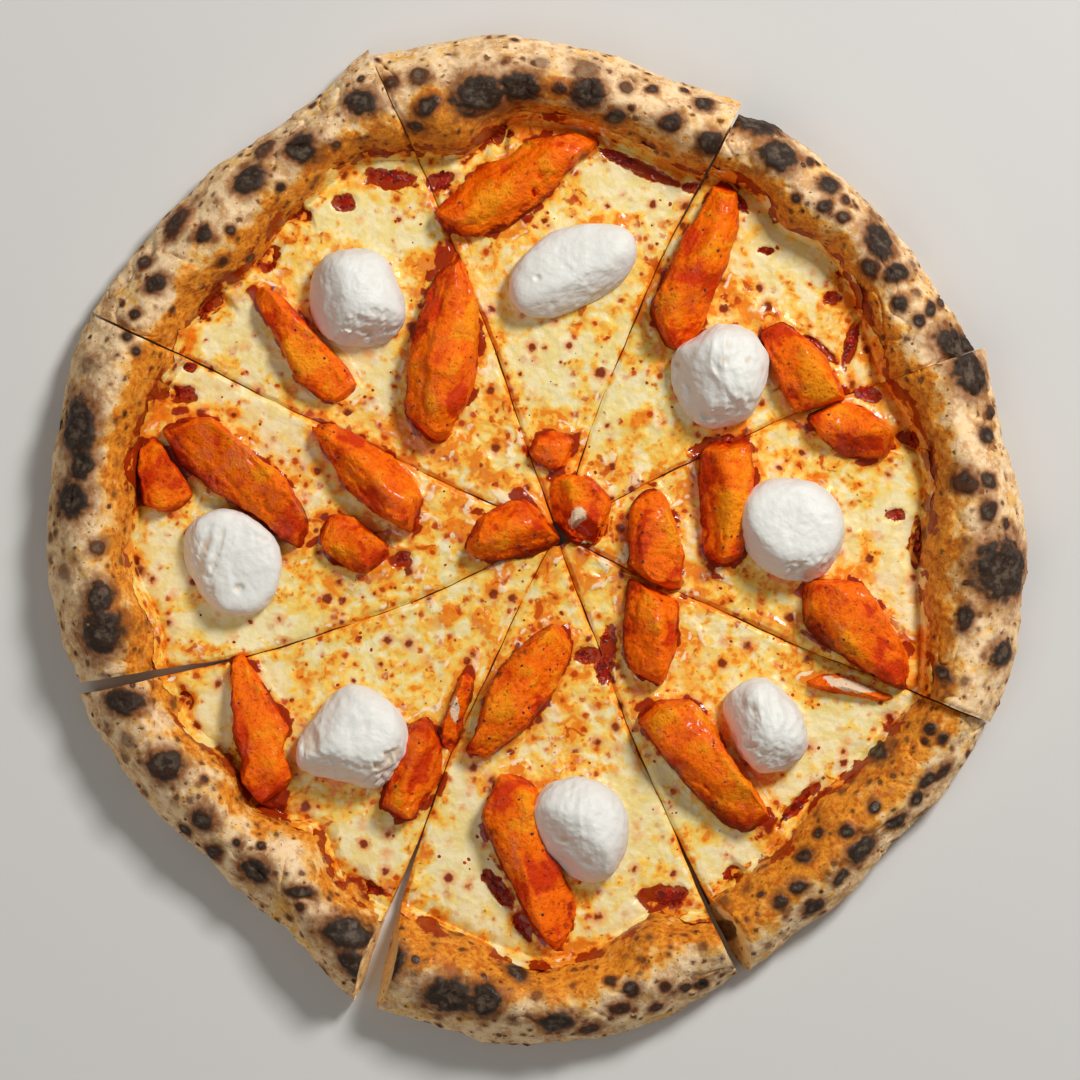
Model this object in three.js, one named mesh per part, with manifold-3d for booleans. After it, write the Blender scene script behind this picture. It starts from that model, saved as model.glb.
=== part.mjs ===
// Buffalo chicken pizza: a 13-inch wood-fired pizza, cut into eight slices that still lie together.
// Millimetres, +Z up. The origin is under the middle of the pizza, on the surface it rests on,
// and +Y runs along its slightly longer diameter.

import * as THREE from "three";
import { mergeVertices } from "three/addons/utils/BufferGeometryUtils.js";
import Module from "manifold-3d";

const wasm = await Module();
wasm.setup();

// ---------------------------------------------------------------------------
// Driving dimensions
// ---------------------------------------------------------------------------

const CLEARANCE = 0.35; // air between two pieces that touch
const BASE_THICKNESS = 4; // flat dough under the cheese
const EQUATOR_HEIGHT = 9; // height at which the puffed rim is widest
const RIM_CONTACT = 0.72; // share of the rim's width that rests on the table
const DOME_POWER = 0.75; // below 1, the rim's section is fuller than a sine
const SWELL = 0.04; // how much the rim's height changes along a slice, as a share
const SWELLS = 1.5; // how many times it rises and falls
const CHEESE_THICKNESS = 2.6;
const CHEESE_SHORE = 2; // cheese stops this far before the rim starts to rise
const SHORE_THICKNESS = 1.3; // thickness of the cheese where it stops
const HUB = new THREE.Vector2(5.5, 2); // where the knife strokes cross
const TIP_RADIUS = 4; // a slice's blunt tip, measured from the hub
const NARROW_CUT = 0.8; // width of a knife cut where the slices still touch
const OPENING_START = 0.6; // share of the reach where a cut starts to open

const SLICE_COLUMNS = 10; // facets across a slice
const FLAT_ROWS = 3; // facets from the tip to the foot of the rim
const RIM_ROWS = 6; // facets over the rim
const CHEESE_ROWS = 3;
const STRIP_STATIONS = 7; // facets along a chicken strip
const STRIP_FULLNESS = 2.4; // a strip's outline is |x|^2.4 + |y|^(1 / 0.6) = 1
const STRIP_POINT = 0.6;
const DOLLOP_SIDES = 12;
const MERGE_DISTANCE = 0.002; // corners closer than this are one

const TOPPING_BED = BASE_THICKNESS + CHEESE_THICKNESS + 2 * CLEARANCE;

// Knife cuts, counterclockwise from the lower right. bearing: direction from the hub in degrees,
// bow: how far the cut swings to its left at mid length, opening: its width at the outer edge.
const CUTS = {
  lowerRight: { bearing: -23.5, bow: -2, opening: 1.6 },
  right: { bearing: 23.5, bow: 5, opening: 1.6 },
  upperRight: { bearing: 66.6, bow: 4.5, opening: 2 },
  upperLeft: { bearing: 111.2, bow: -3, opening: 1.6 },
  left: { bearing: 154.5, bow: 0.5, opening: 2 },
  lowerLeft: { bearing: 197.8, bow: 8, opening: 4 },
  lowBottom: { bearing: 247.8, bow: -4.5, opening: 6 },
  bottom: { bearing: 292.6, bow: -2.5, opening: 2.4 },
};

// Slices, from one cut to the next. reach: hub to outer edge, rim: width of the puffed rim, both at
// equal steps from the first cut to the second one, height: top of the rim, lean: how far the top of
// the rim's cut face leans back from the first cut and from the second one.
const SLICES = [
  { id: 1, from: "upperRight", to: "upperLeft", height: 25,
    reach: [156, 156.5, 159, 163, 167, 168, 171], rim: [29, 29, 28, 28, 30, 39, 38], lean: [0, 0] },
  { id: 2, from: "right", to: "upperRight", height: 23,
    reach: [152, 151, 150, 151, 152, 153.5, 151], rim: [33, 29, 24, 22, 26, 23, 21], lean: [0, 0] },
  { id: 3, from: "lowerRight", to: "right", height: 26,
    reach: [157, 157.5, 157.5, 157, 154, 153, 155.5], rim: [26, 31, 35, 35, 30, 30, 35], lean: [0, 0] },
  { id: 4, from: "bottom", to: "lowerRight", height: 22,
    reach: [158.5, 154, 153.5, 152, 153, 154.5, 156.5], rim: [28, 26, 27, 29, 28, 28, 25], lean: [7, 0] },
  { id: 5, from: "lowBottom", to: "bottom", height: 25,
    reach: [169, 168, 169.5, 168.5, 166, 163, 158.5], rim: [36, 33, 31, 28, 30, 33, 23], lean: [4, 0] },
  { id: 6, from: "lowerLeft", to: "lowBottom", height: 24,
    reach: [168.5, 164.5, 161, 158, 158, 161, 169.5], rim: [32, 29, 33, 27, 35, 28, 33], lean: [0, 3] },
  { id: 7, from: "left", to: "lowerLeft", height: 26,
    reach: [171.5, 171, 169.5, 169.5, 169, 169, 167], rim: [35, 32, 28, 30, 28, 33, 30], lean: [0, 0] },
  { id: 8, from: "upperLeft", to: "left", height: 24,
    reach: [173, 166, 165, 166, 167, 168.5, 171.5], rim: [40, 26, 27, 29, 33, 29, 34], lean: [0, 0] },
];

// Buffalo chicken strips. at: middle, bearing: direction of the strip in degrees, bend: how far its
// middle swings to the left, blunt: how square each end is, from 0 for a tip to 1 for a knife cut.
const STRIPS = [
  { at: [-79, 66.5], bearing: -48, length: 49, width: 13, height: 9, bend: 1, blunt: [0.1, 0.4] },
  { at: [-31.5, 61.5], bearing: -96, length: 66, width: 23, height: 14, bend: -2, blunt: [0.1, 0.3] },
  { at: [-7, 117.5], bearing: 29, length: 58, width: 22, height: 12, bend: 2, blunt: [0.2, 0.3] },
  { at: [4.5, 30], bearing: 0, length: 16, width: 14, height: 7, bend: 0, blunt: [0.5, 0.4] },
  { at: [52, 90], bearing: -108, length: 56, width: 22, height: 14, bend: 1, blunt: [0.1, 0.5] },
  { at: [85, 60.5], bearing: -50, length: 35, width: 20, height: 12, bend: 0, blunt: [0.1, 1] },
  { at: [101.5, 34.5], bearing: -24, length: 36, width: 17, height: 12, bend: 1, blunt: [0.4, 0.3] },
  { at: [61.5, 12.5], bearing: -94, length: 50, width: 19, height: 13, bend: 1, blunt: [0.6, 0.2] },
  { at: [106, -31.5], bearing: -45, length: 50, width: 24, height: 14, bend: 2, blunt: [0.5, 0.2] },
  { at: [36.7, 0.9], bearing: -91, length: 33, width: 20, height: 12, bend: -1, blunt: [0.2, 1] },
  { at: [12.5, 11], bearing: -45, length: 30, width: 18, height: 10, bend: 3, blunt: [0.6, 0.5] },
  { at: [36.7, -31.5], bearing: -90, length: 37, width: 20, height: 12, bend: -1, blunt: [1, 0.2] },
  { at: [54.2, -76.2], bearing: -43, length: 61, width: 23, height: 14, bend: 2, blunt: [0.5, 0.4] },
  { at: [103, -50.5], bearing: -10, length: 32, width: 5, height: 5, bend: 1, blunt: [0.3, 0.3] },
  { at: [-3.3, -51.2], bearing: 46, length: 57, width: 23, height: 14, bend: -1, blunt: [0.3, 0.3] },
  { at: [-4.5, -107], bearing: -71, length: 63, width: 18, height: 12, bend: -5, blunt: [0.4, 0.3] },
  { at: [-94.9, -63.4], bearing: -76, length: 51, width: 17, height: 12, bend: 1, blunt: [0.4, 0.4] },
  { at: [-42, -76.2], bearing: -116, length: 40, width: 19, height: 13, bend: 0, blunt: [0.3, 0.4] },
  { at: [-26.2, -58], bearing: -106, length: 31, width: 7, height: 9, bend: 0, blunt: [0.1, 0.6] },
  { at: [-100.8, 18], bearing: -42, length: 65, width: 21, height: 14, bend: 3, blunt: [0.3, 0.3] },
  { at: [-122, 21], bearing: -80, length: 30, width: 18, height: 9, bend: -1, blunt: [0.3, 0.6] },
  { at: [-58.7, 21.7], bearing: -44, length: 53, width: 20, height: 13, bend: 2, blunt: [0, 0.4] },
  { at: [-60, -1], bearing: -8, length: 31, width: 20, height: 10, bend: 2, blunt: [0.4, 0.5] },
  { at: [-10.3, 4.5], bearing: 15, length: 31, width: 22, height: 12, bend: 1, blunt: [0.2, 0.7] },
];

// Dollops of whipped cream cheese. bearing turns the longer side.
const DOLLOPS = [
  { at: [-61, 80.7], bearing: 90, length: 34.5, width: 33, height: 18 },
  { at: [11, 90], bearing: 22, length: 43, width: 28.5, height: 14 },
  { at: [59.3, 54.3], bearing: 90, length: 35, width: 34, height: 20 },
  { at: [84, 3], bearing: 90, length: 35.5, width: 34.5, height: 19 },
  { at: [74.3, -62.3], bearing: 100, length: 33.5, width: 30.5, height: 18 },
  { at: [13, -96], bearing: -60, length: 37, width: 33, height: 19 },
  { at: [-63.3, -65.7], bearing: -10, length: 41, width: 34, height: 19 },
  { at: [-103.3, -7.3], bearing: 90, length: 37, width: 36, height: 14 },
];

// A strip's section, as shares of its width and height: flat below and domed above.
const STRIP_SECTION = [
  [-0.36, 0], [0.36, 0], [0.5, 0.3], [0.4, 0.75], [0.15, 1], [-0.15, 1], [-0.4, 0.75], [-0.5, 0.3],
];

// A dollop's profile, as shares of its radius and height, from the axis below to the axis on top.
const DOLLOP_PROFILE = [
  [0, 0], [0.8, 0], [0.98, 0.2], [1, 0.42], [0.88, 0.72], [0.6, 0.92], [0.28, 1], [0, 1],
];

// ---------------------------------------------------------------------------
// Materials
// ---------------------------------------------------------------------------

const finish = (name, color, roughness) => {
  const material = new THREE.MeshStandardMaterial({ color, roughness, metalness: 0 });
  material.name = name;
  return material;
};

const MATERIALS = {
  dough: finish("baked_dough", 0xd8b48a, 0.8),
  cheese: finish("melted_cheese", 0xf0d594, 0.4),
  chicken: finish("buffalo_chicken", 0xd4530f, 0.35),
  cream: finish("whipped_cream_cheese", 0xf2eee6, 0.5),
};

// ---------------------------------------------------------------------------
// Small helpers
// ---------------------------------------------------------------------------

const radians = THREE.MathUtils.degToRad;
const mix = THREE.MathUtils.lerp;

// Smooth curve through equally spaced values, read at share from 0 to 1.
function along(values, share) {
  const place = share * (values.length - 1);
  const i = Math.min(Math.floor(place), values.length - 2);
  const f = place - i;
  const value = (k) => values[THREE.MathUtils.clamp(k, 0, values.length - 1)];
  const [a, b, c, d] = [i - 1, i, i + 1, i + 2].map(value);
  return b + 0.5 * f * (c - a + f * (2 * a - 5 * b + 4 * c - d + f * (3 * (b - c) + d - a)));
}

// Closed body from a list of points and a list of triangles.
function sealedMesh(points, triangles) {
  const geometry = new THREE.BufferGeometry();
  geometry.setAttribute("position", new THREE.Float32BufferAttribute(points.flatMap((p) => p.toArray()), 3));
  geometry.setIndex(triangles.flat());
  return sealed(geometry);
}

// The geometry with shared corners, and without the triangles that this makes collapse.
function sealed(geometry) {
  geometry.deleteAttribute("normal");
  geometry.deleteAttribute("uv");
  const merged = mergeVertices(geometry, MERGE_DISTANCE);
  const corners = Array.from(merged.index.array);
  const kept = [];
  for (let i = 0; i < corners.length; i += 3) {
    const [a, b, c] = corners.slice(i, i + 3);
    if (a !== b && b !== c && c !== a) {
      kept.push(a, b, c);
    }
  }
  merged.setIndex(kept);
  return merged;
}

// Closed body between two grids of points that share their columns and rows.
function slabGeometry(columns, rows, topPoint, bottomPoint) {
  const points = [];
  for (const pointAt of [topPoint, bottomPoint]) {
    for (let c = 0; c <= columns; c++) {
      for (let r = 0; r <= rows; r++) {
        points.push(pointAt(c / columns, r / rows));
      }
    }
  }
  const layer = (columns + 1) * (rows + 1);
  const top = (c, r) => c * (rows + 1) + r;
  const bottom = (c, r) => layer + top(c, r);
  const triangles = [];
  const quad = (a, b, c, d) => triangles.push([a, b, c], [a, c, d]);
  for (let c = 0; c < columns; c++) {
    for (let r = 0; r < rows; r++) {
      quad(top(c, r), top(c, r + 1), top(c + 1, r + 1), top(c + 1, r));
      quad(bottom(c, r), bottom(c + 1, r), bottom(c + 1, r + 1), bottom(c, r + 1));
    }
    quad(top(c, 0), top(c + 1, 0), bottom(c + 1, 0), bottom(c, 0));
    quad(top(c, rows), bottom(c, rows), bottom(c + 1, rows), top(c + 1, rows));
  }
  for (let r = 0; r < rows; r++) {
    quad(top(0, r), bottom(0, r), bottom(0, r + 1), top(0, r + 1));
    quad(top(columns, r), top(columns, r + 1), bottom(columns, r + 1), bottom(columns, r));
  }
  return sealedMesh(points, triangles);
}

// The first body without the space of the others. Slivers that the cut leaves loose are dropped.
function carve(geometry, others) {
  const solid = (g) => new wasm.Manifold(new wasm.Mesh({
    numProp: 3,
    vertProperties: new Float32Array(g.attributes.position.array),
    triVerts: new Uint32Array(g.index.array),
  }));
  const rest = others.reduce((kept, other) => kept.subtract(solid(other)), solid(geometry));
  const [largest] = rest.decompose().sort((a, b) => b.volume() - a.volume());
  const mesh = largest.getMesh();
  const carved = new THREE.BufferGeometry();
  carved.setAttribute("position", new THREE.Float32BufferAttribute(mesh.vertProperties, 3));
  carved.setIndex(Array.from(mesh.triVerts));
  return carved;
}

// ---------------------------------------------------------------------------
// Slices: dough and cheese
// ---------------------------------------------------------------------------

// Point of a slice: share runs from its first cut to its second one, and radius is the distance from
// the hub. Towards its cuts the slice follows their bow, keeps clear of half their width, and leans
// back with the height.
function slicePoint(slice, share, radius, height) {
  const depth = radius / along(slice.reach, share);
  const first = CUTS[slice.from].bearing;
  const sweep = THREE.MathUtils.euclideanModulo(CUTS[slice.to].bearing - first, 360);
  const bearing = radians(first + sweep * share);
  const opened = THREE.MathUtils.smoothstep(depth, OPENING_START, 1);
  const leaning = opened * height / slice.height;
  const point = new THREE.Vector2(Math.cos(bearing), Math.sin(bearing)).multiplyScalar(radius).add(HUB);
  const sides = [
    { cut: CUTS[slice.from], weight: 1 - share, inward: 1, lean: slice.lean[0] },
    { cut: CUTS[slice.to], weight: share, inward: -1, lean: slice.lean[1] },
  ];
  for (const { cut, weight, inward, lean } of sides) {
    const sideways = new THREE.Vector2(-Math.sin(radians(cut.bearing)), Math.cos(radians(cut.bearing)));
    const back = mix(NARROW_CUT, cut.opening, opened) / 2 + lean * leaning;
    point.addScaledVector(sideways, weight * (cut.bow * Math.sin(Math.PI * depth) + inward * back));
  }
  return new THREE.Vector3(point.x, point.y, height);
}

// Radius and place on the rim (0 at its foot, 1 at the outer edge) of row r of a dough slice.
function doughRow(slice, share, row) {
  const reach = along(slice.reach, share);
  const foot = reach - along(slice.rim, share);
  const flatShare = FLAT_ROWS / (FLAT_ROWS + RIM_ROWS);
  if (row <= flatShare) {
    return { radius: mix(TIP_RADIUS, foot, row / flatShare), onRim: 0 };
  }
  const turn = Math.PI * (row - flatShare) / (1 - flatShare);
  const onRim = (1 - Math.cos(turn)) / 2;
  return { radius: mix(foot, reach, onRim), onRim };
}

// Height of the rim's upper side: a dome that leaves the flat base and ends at the widest height.
function rimTop(slice, share, onRim) {
  const dome = Math.pow(Math.sin(Math.PI * Math.min(onRim, 1)), DOME_POWER);
  const floor = mix(BASE_THICKNESS, EQUATOR_HEIGHT, onRim);
  const swell = 1 + SWELL * Math.sin(2 * Math.PI * SWELLS * share + slice.id);
  return floor + dome * (slice.height * swell - floor);
}

// Height of its underside: flat on the table, then a quarter round up to the widest height.
function rimUnderside(onRim) {
  const lifted = Math.max(0, (onRim - RIM_CONTACT) / (1 - RIM_CONTACT));
  return EQUATOR_HEIGHT * (1 - Math.sqrt(1 - Math.min(lifted, 1) ** 2));
}

function doughGeometry(slice) {
  const pointOn = (heightAt) => (share, row) => {
    const { radius, onRim } = doughRow(slice, share, row);
    return slicePoint(slice, share, radius, heightAt(share, onRim));
  };
  const upper = pointOn((share, onRim) => rimTop(slice, share, onRim));
  const lower = pointOn((share, onRim) => rimUnderside(onRim));
  return slabGeometry(SLICE_COLUMNS, FLAT_ROWS + RIM_ROWS, upper, lower);
}

function cheeseGeometry(slice) {
  const pointOn = (heightAt) => (share, row) => {
    const shore = along(slice.reach, share) - along(slice.rim, share) - CHEESE_SHORE;
    const radius = mix(TIP_RADIUS, shore, row);
    return slicePoint(slice, share, radius, BASE_THICKNESS + CLEARANCE + heightAt(row));
  };
  const upper = pointOn((row) => (row < 1 ? CHEESE_THICKNESS : SHORE_THICKNESS));
  const lower = pointOn(() => 0);
  return slabGeometry(SLICE_COLUMNS, CHEESE_ROWS, upper, lower);
}

// ---------------------------------------------------------------------------
// Toppings
// ---------------------------------------------------------------------------

// A strip of chicken: its section is carried along a bent line and narrows towards the ends.
// grow makes it larger all round, which gives the space that a neighbour leaves free.
function stripGeometry(strip, grow = 0) {
  const points = [];
  const [start, end] = strip.blunt;
  const turned = radians(strip.bearing);
  for (let s = 0; s <= STRIP_STATIONS; s++) {
    const share = (1 - Math.cos(Math.PI * s / STRIP_STATIONS)) / 2;
    const swing = 2 * share - 1;
    const rounded = (1 - Math.abs(swing) ** STRIP_FULLNESS) ** STRIP_POINT;
    const taper = mix(rounded, 1, swing < 0 ? start : end);
    const heading = Math.atan(-4 * strip.bend * swing / strip.length);
    const middle = new THREE.Vector2(
      swing * (strip.length / 2 + grow),
      strip.bend * (1 - swing * swing),
    );
    for (const [across, up] of STRIP_SECTION) {
      const offset = across * (strip.width + 2 * grow) * taper;
      const plan = new THREE.Vector2(-Math.sin(heading), Math.cos(heading));
      plan.multiplyScalar(offset).add(middle).rotateAround(new THREE.Vector2(), turned);
      const height = up * (strip.height + grow) * Math.sqrt(taper) - (up === 0 ? grow : 0);
      points.push(new THREE.Vector3(strip.at[0] + plan.x, strip.at[1] + plan.y, TOPPING_BED + height));
    }
  }
  const sides = STRIP_SECTION.length;
  const triangles = [];
  for (let s = 0; s < STRIP_STATIONS; s++) {
    for (let k = 0; k < sides; k++) {
      const next = (k + 1) % sides;
      const [a, b] = [s * sides + k, s * sides + next];
      triangles.push([a, b, b + sides], [a, b + sides, a + sides]);
    }
  }
  const last = STRIP_STATIONS * sides;
  for (let k = 1; k < sides - 1; k++) {
    triangles.push([0, k + 1, k], [last, last + k, last + k + 1]);
  }
  return sealedMesh(points, triangles);
}

// A dollop of whipped cream cheese: a round heap with a flat foot, longer one way than the other.
function dollopGeometry(dollop) {
  const profile = DOLLOP_PROFILE.map(([out, up]) => new THREE.Vector2(out, up));
  const heap = new THREE.LatheGeometry(profile, DOLLOP_SIDES);
  heap.rotateX(Math.PI / 2);
  heap.scale(dollop.length / 2, dollop.width / 2, dollop.height);
  heap.rotateZ(radians(dollop.bearing));
  heap.translate(dollop.at[0], dollop.at[1], TOPPING_BED);
  return sealed(heap);
}

// ---------------------------------------------------------------------------
// The whole pizza
// ---------------------------------------------------------------------------

const pizza = new THREE.Group();

function addPiece(name, geometry, material) {
  const mesh = new THREE.Mesh(geometry, material);
  mesh.name = name;
  pizza.add(mesh);
}

for (const slice of SLICES) {
  addPiece(`dough_${slice.id}`, doughGeometry(slice), MATERIALS.dough);
  addPiece(`cheese_${slice.id}`, cheeseGeometry(slice), MATERIALS.cheese);
}

// Each topping leaves free the space of those that were laid before it.
const taken = [];
STRIPS.forEach((strip, index) => {
  const number = String(index + 1).padStart(2, "0");
  addPiece(`chicken_${number}`, carve(stripGeometry(strip), taken), MATERIALS.chicken);
  taken.push(stripGeometry(strip, CLEARANCE));
});
DOLLOPS.forEach((dollop, index) => {
  addPiece(`cream_${index + 1}`, carve(dollopGeometry(dollop), taken), MATERIALS.cream);
});

export default pizza;
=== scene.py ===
"""Buffalo chicken pizza: the looks of a 13-inch wood-fired pizza, cut into eight slices.

Every surface is worked out with numpy in millimetres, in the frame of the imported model, and becomes
a mesh in metres. A slice is a sheet of points over its share (0 at the first cut, 1 at the second
one) and its distance from the hub, where the knife strokes cross. +Y points to the top of the picture.
"""

import logging
from dataclasses import dataclass
from enum import Enum
from functools import cached_property

import bpy
import numpy as np
from bpy.types import ID, Material, Node, NodeSocket, NodeTree, Object
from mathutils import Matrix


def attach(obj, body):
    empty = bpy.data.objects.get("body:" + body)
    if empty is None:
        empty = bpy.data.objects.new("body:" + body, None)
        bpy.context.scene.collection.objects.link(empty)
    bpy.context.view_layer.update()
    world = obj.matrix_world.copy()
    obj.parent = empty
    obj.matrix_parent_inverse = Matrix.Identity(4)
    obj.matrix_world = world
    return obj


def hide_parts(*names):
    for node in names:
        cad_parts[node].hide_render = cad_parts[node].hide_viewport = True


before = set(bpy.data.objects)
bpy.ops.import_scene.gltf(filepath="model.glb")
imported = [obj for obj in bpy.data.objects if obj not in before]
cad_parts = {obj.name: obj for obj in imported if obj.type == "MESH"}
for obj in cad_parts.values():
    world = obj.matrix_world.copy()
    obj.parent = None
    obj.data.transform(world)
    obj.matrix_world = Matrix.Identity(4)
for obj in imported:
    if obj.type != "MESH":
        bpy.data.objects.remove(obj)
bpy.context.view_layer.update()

log = logging.getLogger("pizza")

MM = 0.001

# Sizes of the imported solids, in millimetres.
BASE_THICKNESS = 4.0  # flat dough under the cheese
EQUATOR_HEIGHT = 9.0  # height at which the puffed rim is widest
RIM_CONTACT = 0.72  # share of the rim's width that rests on the table
CHEESE_FLOOR = 4.35  # underside of the cheese
CHEESE_THICKNESS = 2.6
TOPPING_BED = 7.3  # underside of the chicken and of the cream
HUB = (5.5, 2.0)
TIP_RADIUS = 4.0
NARROW_CUT = 0.3  # the knife pressed the slices' edges towards each other
OPENING_START = 0.6  # share of the reach where a cut starts to open

Row = tuple[float, ...]
Array = np.ndarray


# --- Numbers ---

def mix(low: Array, high: Array, share: Array) -> Array:
    """Straight blend of two values: low at share 0, high at share 1."""
    return low + (high - low) * share


def smooth(value: Array, start: float, end: float) -> Array:
    """Soft step: 0 before start, 1 after end, and 3t^2 - 2t^3 between them."""
    t = np.clip((value - start) / (end - start), 0, 1)
    return t * t * (3 - 2 * t)


def along(values: Row, share: Array) -> Array:
    """Curve through equally spaced values.

    Args:
        values: the values at equal steps from share 0 to share 1.
        share: where the curve is read.

    Returns:
        The Catmull-Rom curve's value at each share.
    """
    knots = np.asarray(values, float)
    place = np.clip(share, 0, 1) * (len(knots) - 1)
    i = np.clip(np.floor(place).astype(int), 0, len(knots) - 2)
    f = place - i
    a, b, c, d = (knots[np.clip(i + k, 0, len(knots) - 1)] for k in (-1, 0, 1, 2))
    return b + 0.5 * f * (c - a + f * (2 * a - 5 * b + 4 * c - d + f * (3 * (b - c) + d - a)))


def unit(vectors: Array) -> Array:
    """The same directions with a length of one."""
    return vectors / np.maximum(np.linalg.norm(vectors, axis=-1, keepdims=True), 1e-9)


def turned(x: Array, y: Array, turn: float | Array, at: Row = (0, 0)) -> tuple[Array, Array]:
    """Coordinates turned counterclockwise by an angle in radians, then moved to a new origin."""
    cosine, sine = np.cos(turn), np.sin(turn)
    return at[0] + x * cosine - y * sine, at[1] + x * sine + y * cosine


class Noise:
    """Seeded noise over points in millimetres.

    Args:
        seed: sets the table of directions, so that each piece looks the same in every run.
    """

    TABLE = 256
    CORNERS = np.array([(x, y, z) for x in (0, 1) for y in (0, 1) for z in (0, 1)])
    NEIGHBOURS = np.array([(x, y, z) for x in (-1, 0, 1) for y in (-1, 0, 1) for z in (-1, 0, 1)])

    def __init__(self, seed: int) -> None:
        """Draws the tables from the seed."""
        draw = np.random.default_rng(seed)
        self.order = np.tile(draw.permutation(self.TABLE), 2)
        self.directions = unit(draw.normal(size=(self.TABLE, 3)))
        self.places = draw.random((self.TABLE, 3))

    def _entry(self, cells: Array) -> Array:
        """Number of the table entry that belongs to each whole cell."""
        x, y, z = np.moveaxis(cells & (self.TABLE - 1), -1, 0)
        return self.order[self.order[self.order[x] + y] + z]

    def waves(self, points: Array, size: float | Row) -> Array:
        """Gradient noise: smooth hills about one size apart.

        Args:
            points: places in millimetres, with x, y and z on the last axis.
            size: width of a hill, one number or one for each axis.

        Returns:
            Heights from about -1 to 1: at each place the eight corners' slopes, faded into each other.
        """
        scaled = points / np.asarray(size)
        cell = np.floor(scaled).astype(int)
        inside = scaled - cell
        fade = inside ** 3 * (inside * (inside * 6 - 15) + 10)
        total = np.zeros(points.shape[:-1])
        for corner in self.CORNERS:
            slope = self.directions[self._entry(cell + corner)]
            share = np.prod(np.where(corner == 1, fade, 1 - fade), axis=-1)
            total += share * np.sum(slope * (inside - corner), axis=-1)
        return total * 1.7

    def layered(self, points: Array, size: float | Row, layers: int = 3) -> Array:
        """Noise in layers, each with half the width and half the height of the one before.

        Args:
            points: places in millimetres.
            size: width of a hill in the first layer, one number or one for each axis.
            layers: how many there are.

        Returns:
            The layers' sum, from about -1 to 1.
        """
        width = np.asarray(size, float)
        total = sum(self.waves(points + 17.3 * k, width / 2 ** k) / 2 ** k for k in range(layers))
        return total / (2 - 2.0 ** (1 - layers))

    def bent(self, points: Array, size: float, reach: float, reads: tuple[int, int]) -> Array:
        """The points moved aside by up to reach mm: x and y by waves of this size, read apart."""
        x, y = (self.waves(points + read, size) for read in reads)
        return points + reach * np.stack([x, y, np.zeros_like(x)], axis=-1)

    def cells(self, points: Array, size: float) -> tuple[Array, Array]:
        """Scattered centres, one in each cube of the given size.

        Args:
            points: places in millimetres.
            size: edge of a cube.

        Returns:
            The distance to the nearest centre, in sizes, and three random numbers of that centre.
        """
        scaled = points / size
        cell = np.floor(scaled).astype(int)
        nearest = np.full(points.shape[:-1], 9.0)
        chosen = np.zeros(points.shape[:-1], int)
        for step in self.NEIGHBOURS:
            entry = self._entry(cell + step)
            centre = cell + step + self.places[entry]
            gap = np.linalg.norm(scaled - centre, axis=-1)
            closer = gap < nearest
            nearest = np.where(closer, gap, nearest)
            chosen = np.where(closer, entry, chosen)
        return nearest, self.places[(chosen * 7 + 3) % self.TABLE]


@dataclass(frozen=True)
class Patch:
    """An oval place on the pizza: its middle, half length and half width in mm, and its bearing."""

    x: float
    y: float
    length: float
    width: float
    bearing: float = 0.0
    strength: float = 1.0

    def distance(self, points: Array) -> Array:
        """Distance from the middle seen from above, 1 on the oval's edge."""
        forward, aside = turned(points[..., 0] - self.x, points[..., 1] - self.y, -np.radians(self.bearing))
        return np.hypot(forward / self.length, aside / self.width)


def patches(*rows: Row) -> tuple[Patch, ...]:
    """Patches from rows of x, y, half length, half width, bearing and strength."""
    return tuple(Patch(*row) for row in rows)


def cover(spots: tuple[Patch, ...], points: Array, warp: Array, soft: float) -> Array:
    """How much a set of patches covers each point, with uneven soft edges.

    Args:
        spots: the patches.
        points: places in millimetres.
        warp: noise at each point, which moves the edge.
        soft: width of the edge, as a share of the patch.

    Returns:
        The highest strength of the patches at each point, falling off across each patch's edge.
    """
    total = np.zeros(points.shape[:-1])
    for spot in spots:
        inside = 1 - smooth(spot.distance(points) + warp, 1 - soft, 1 + soft)
        total = np.maximum(total, inside * spot.strength)
    return total


# --- Meshes ---

def add_object(name: str, data: ID) -> Object:
    """Adds an object to the scene.

    Args:
        name: what it is called.
        data: its mesh, light or camera.

    Returns:
        The object.
    """
    made = bpy.data.objects.new(name, data)
    bpy.context.scene.collection.objects.link(made)
    return made


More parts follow.
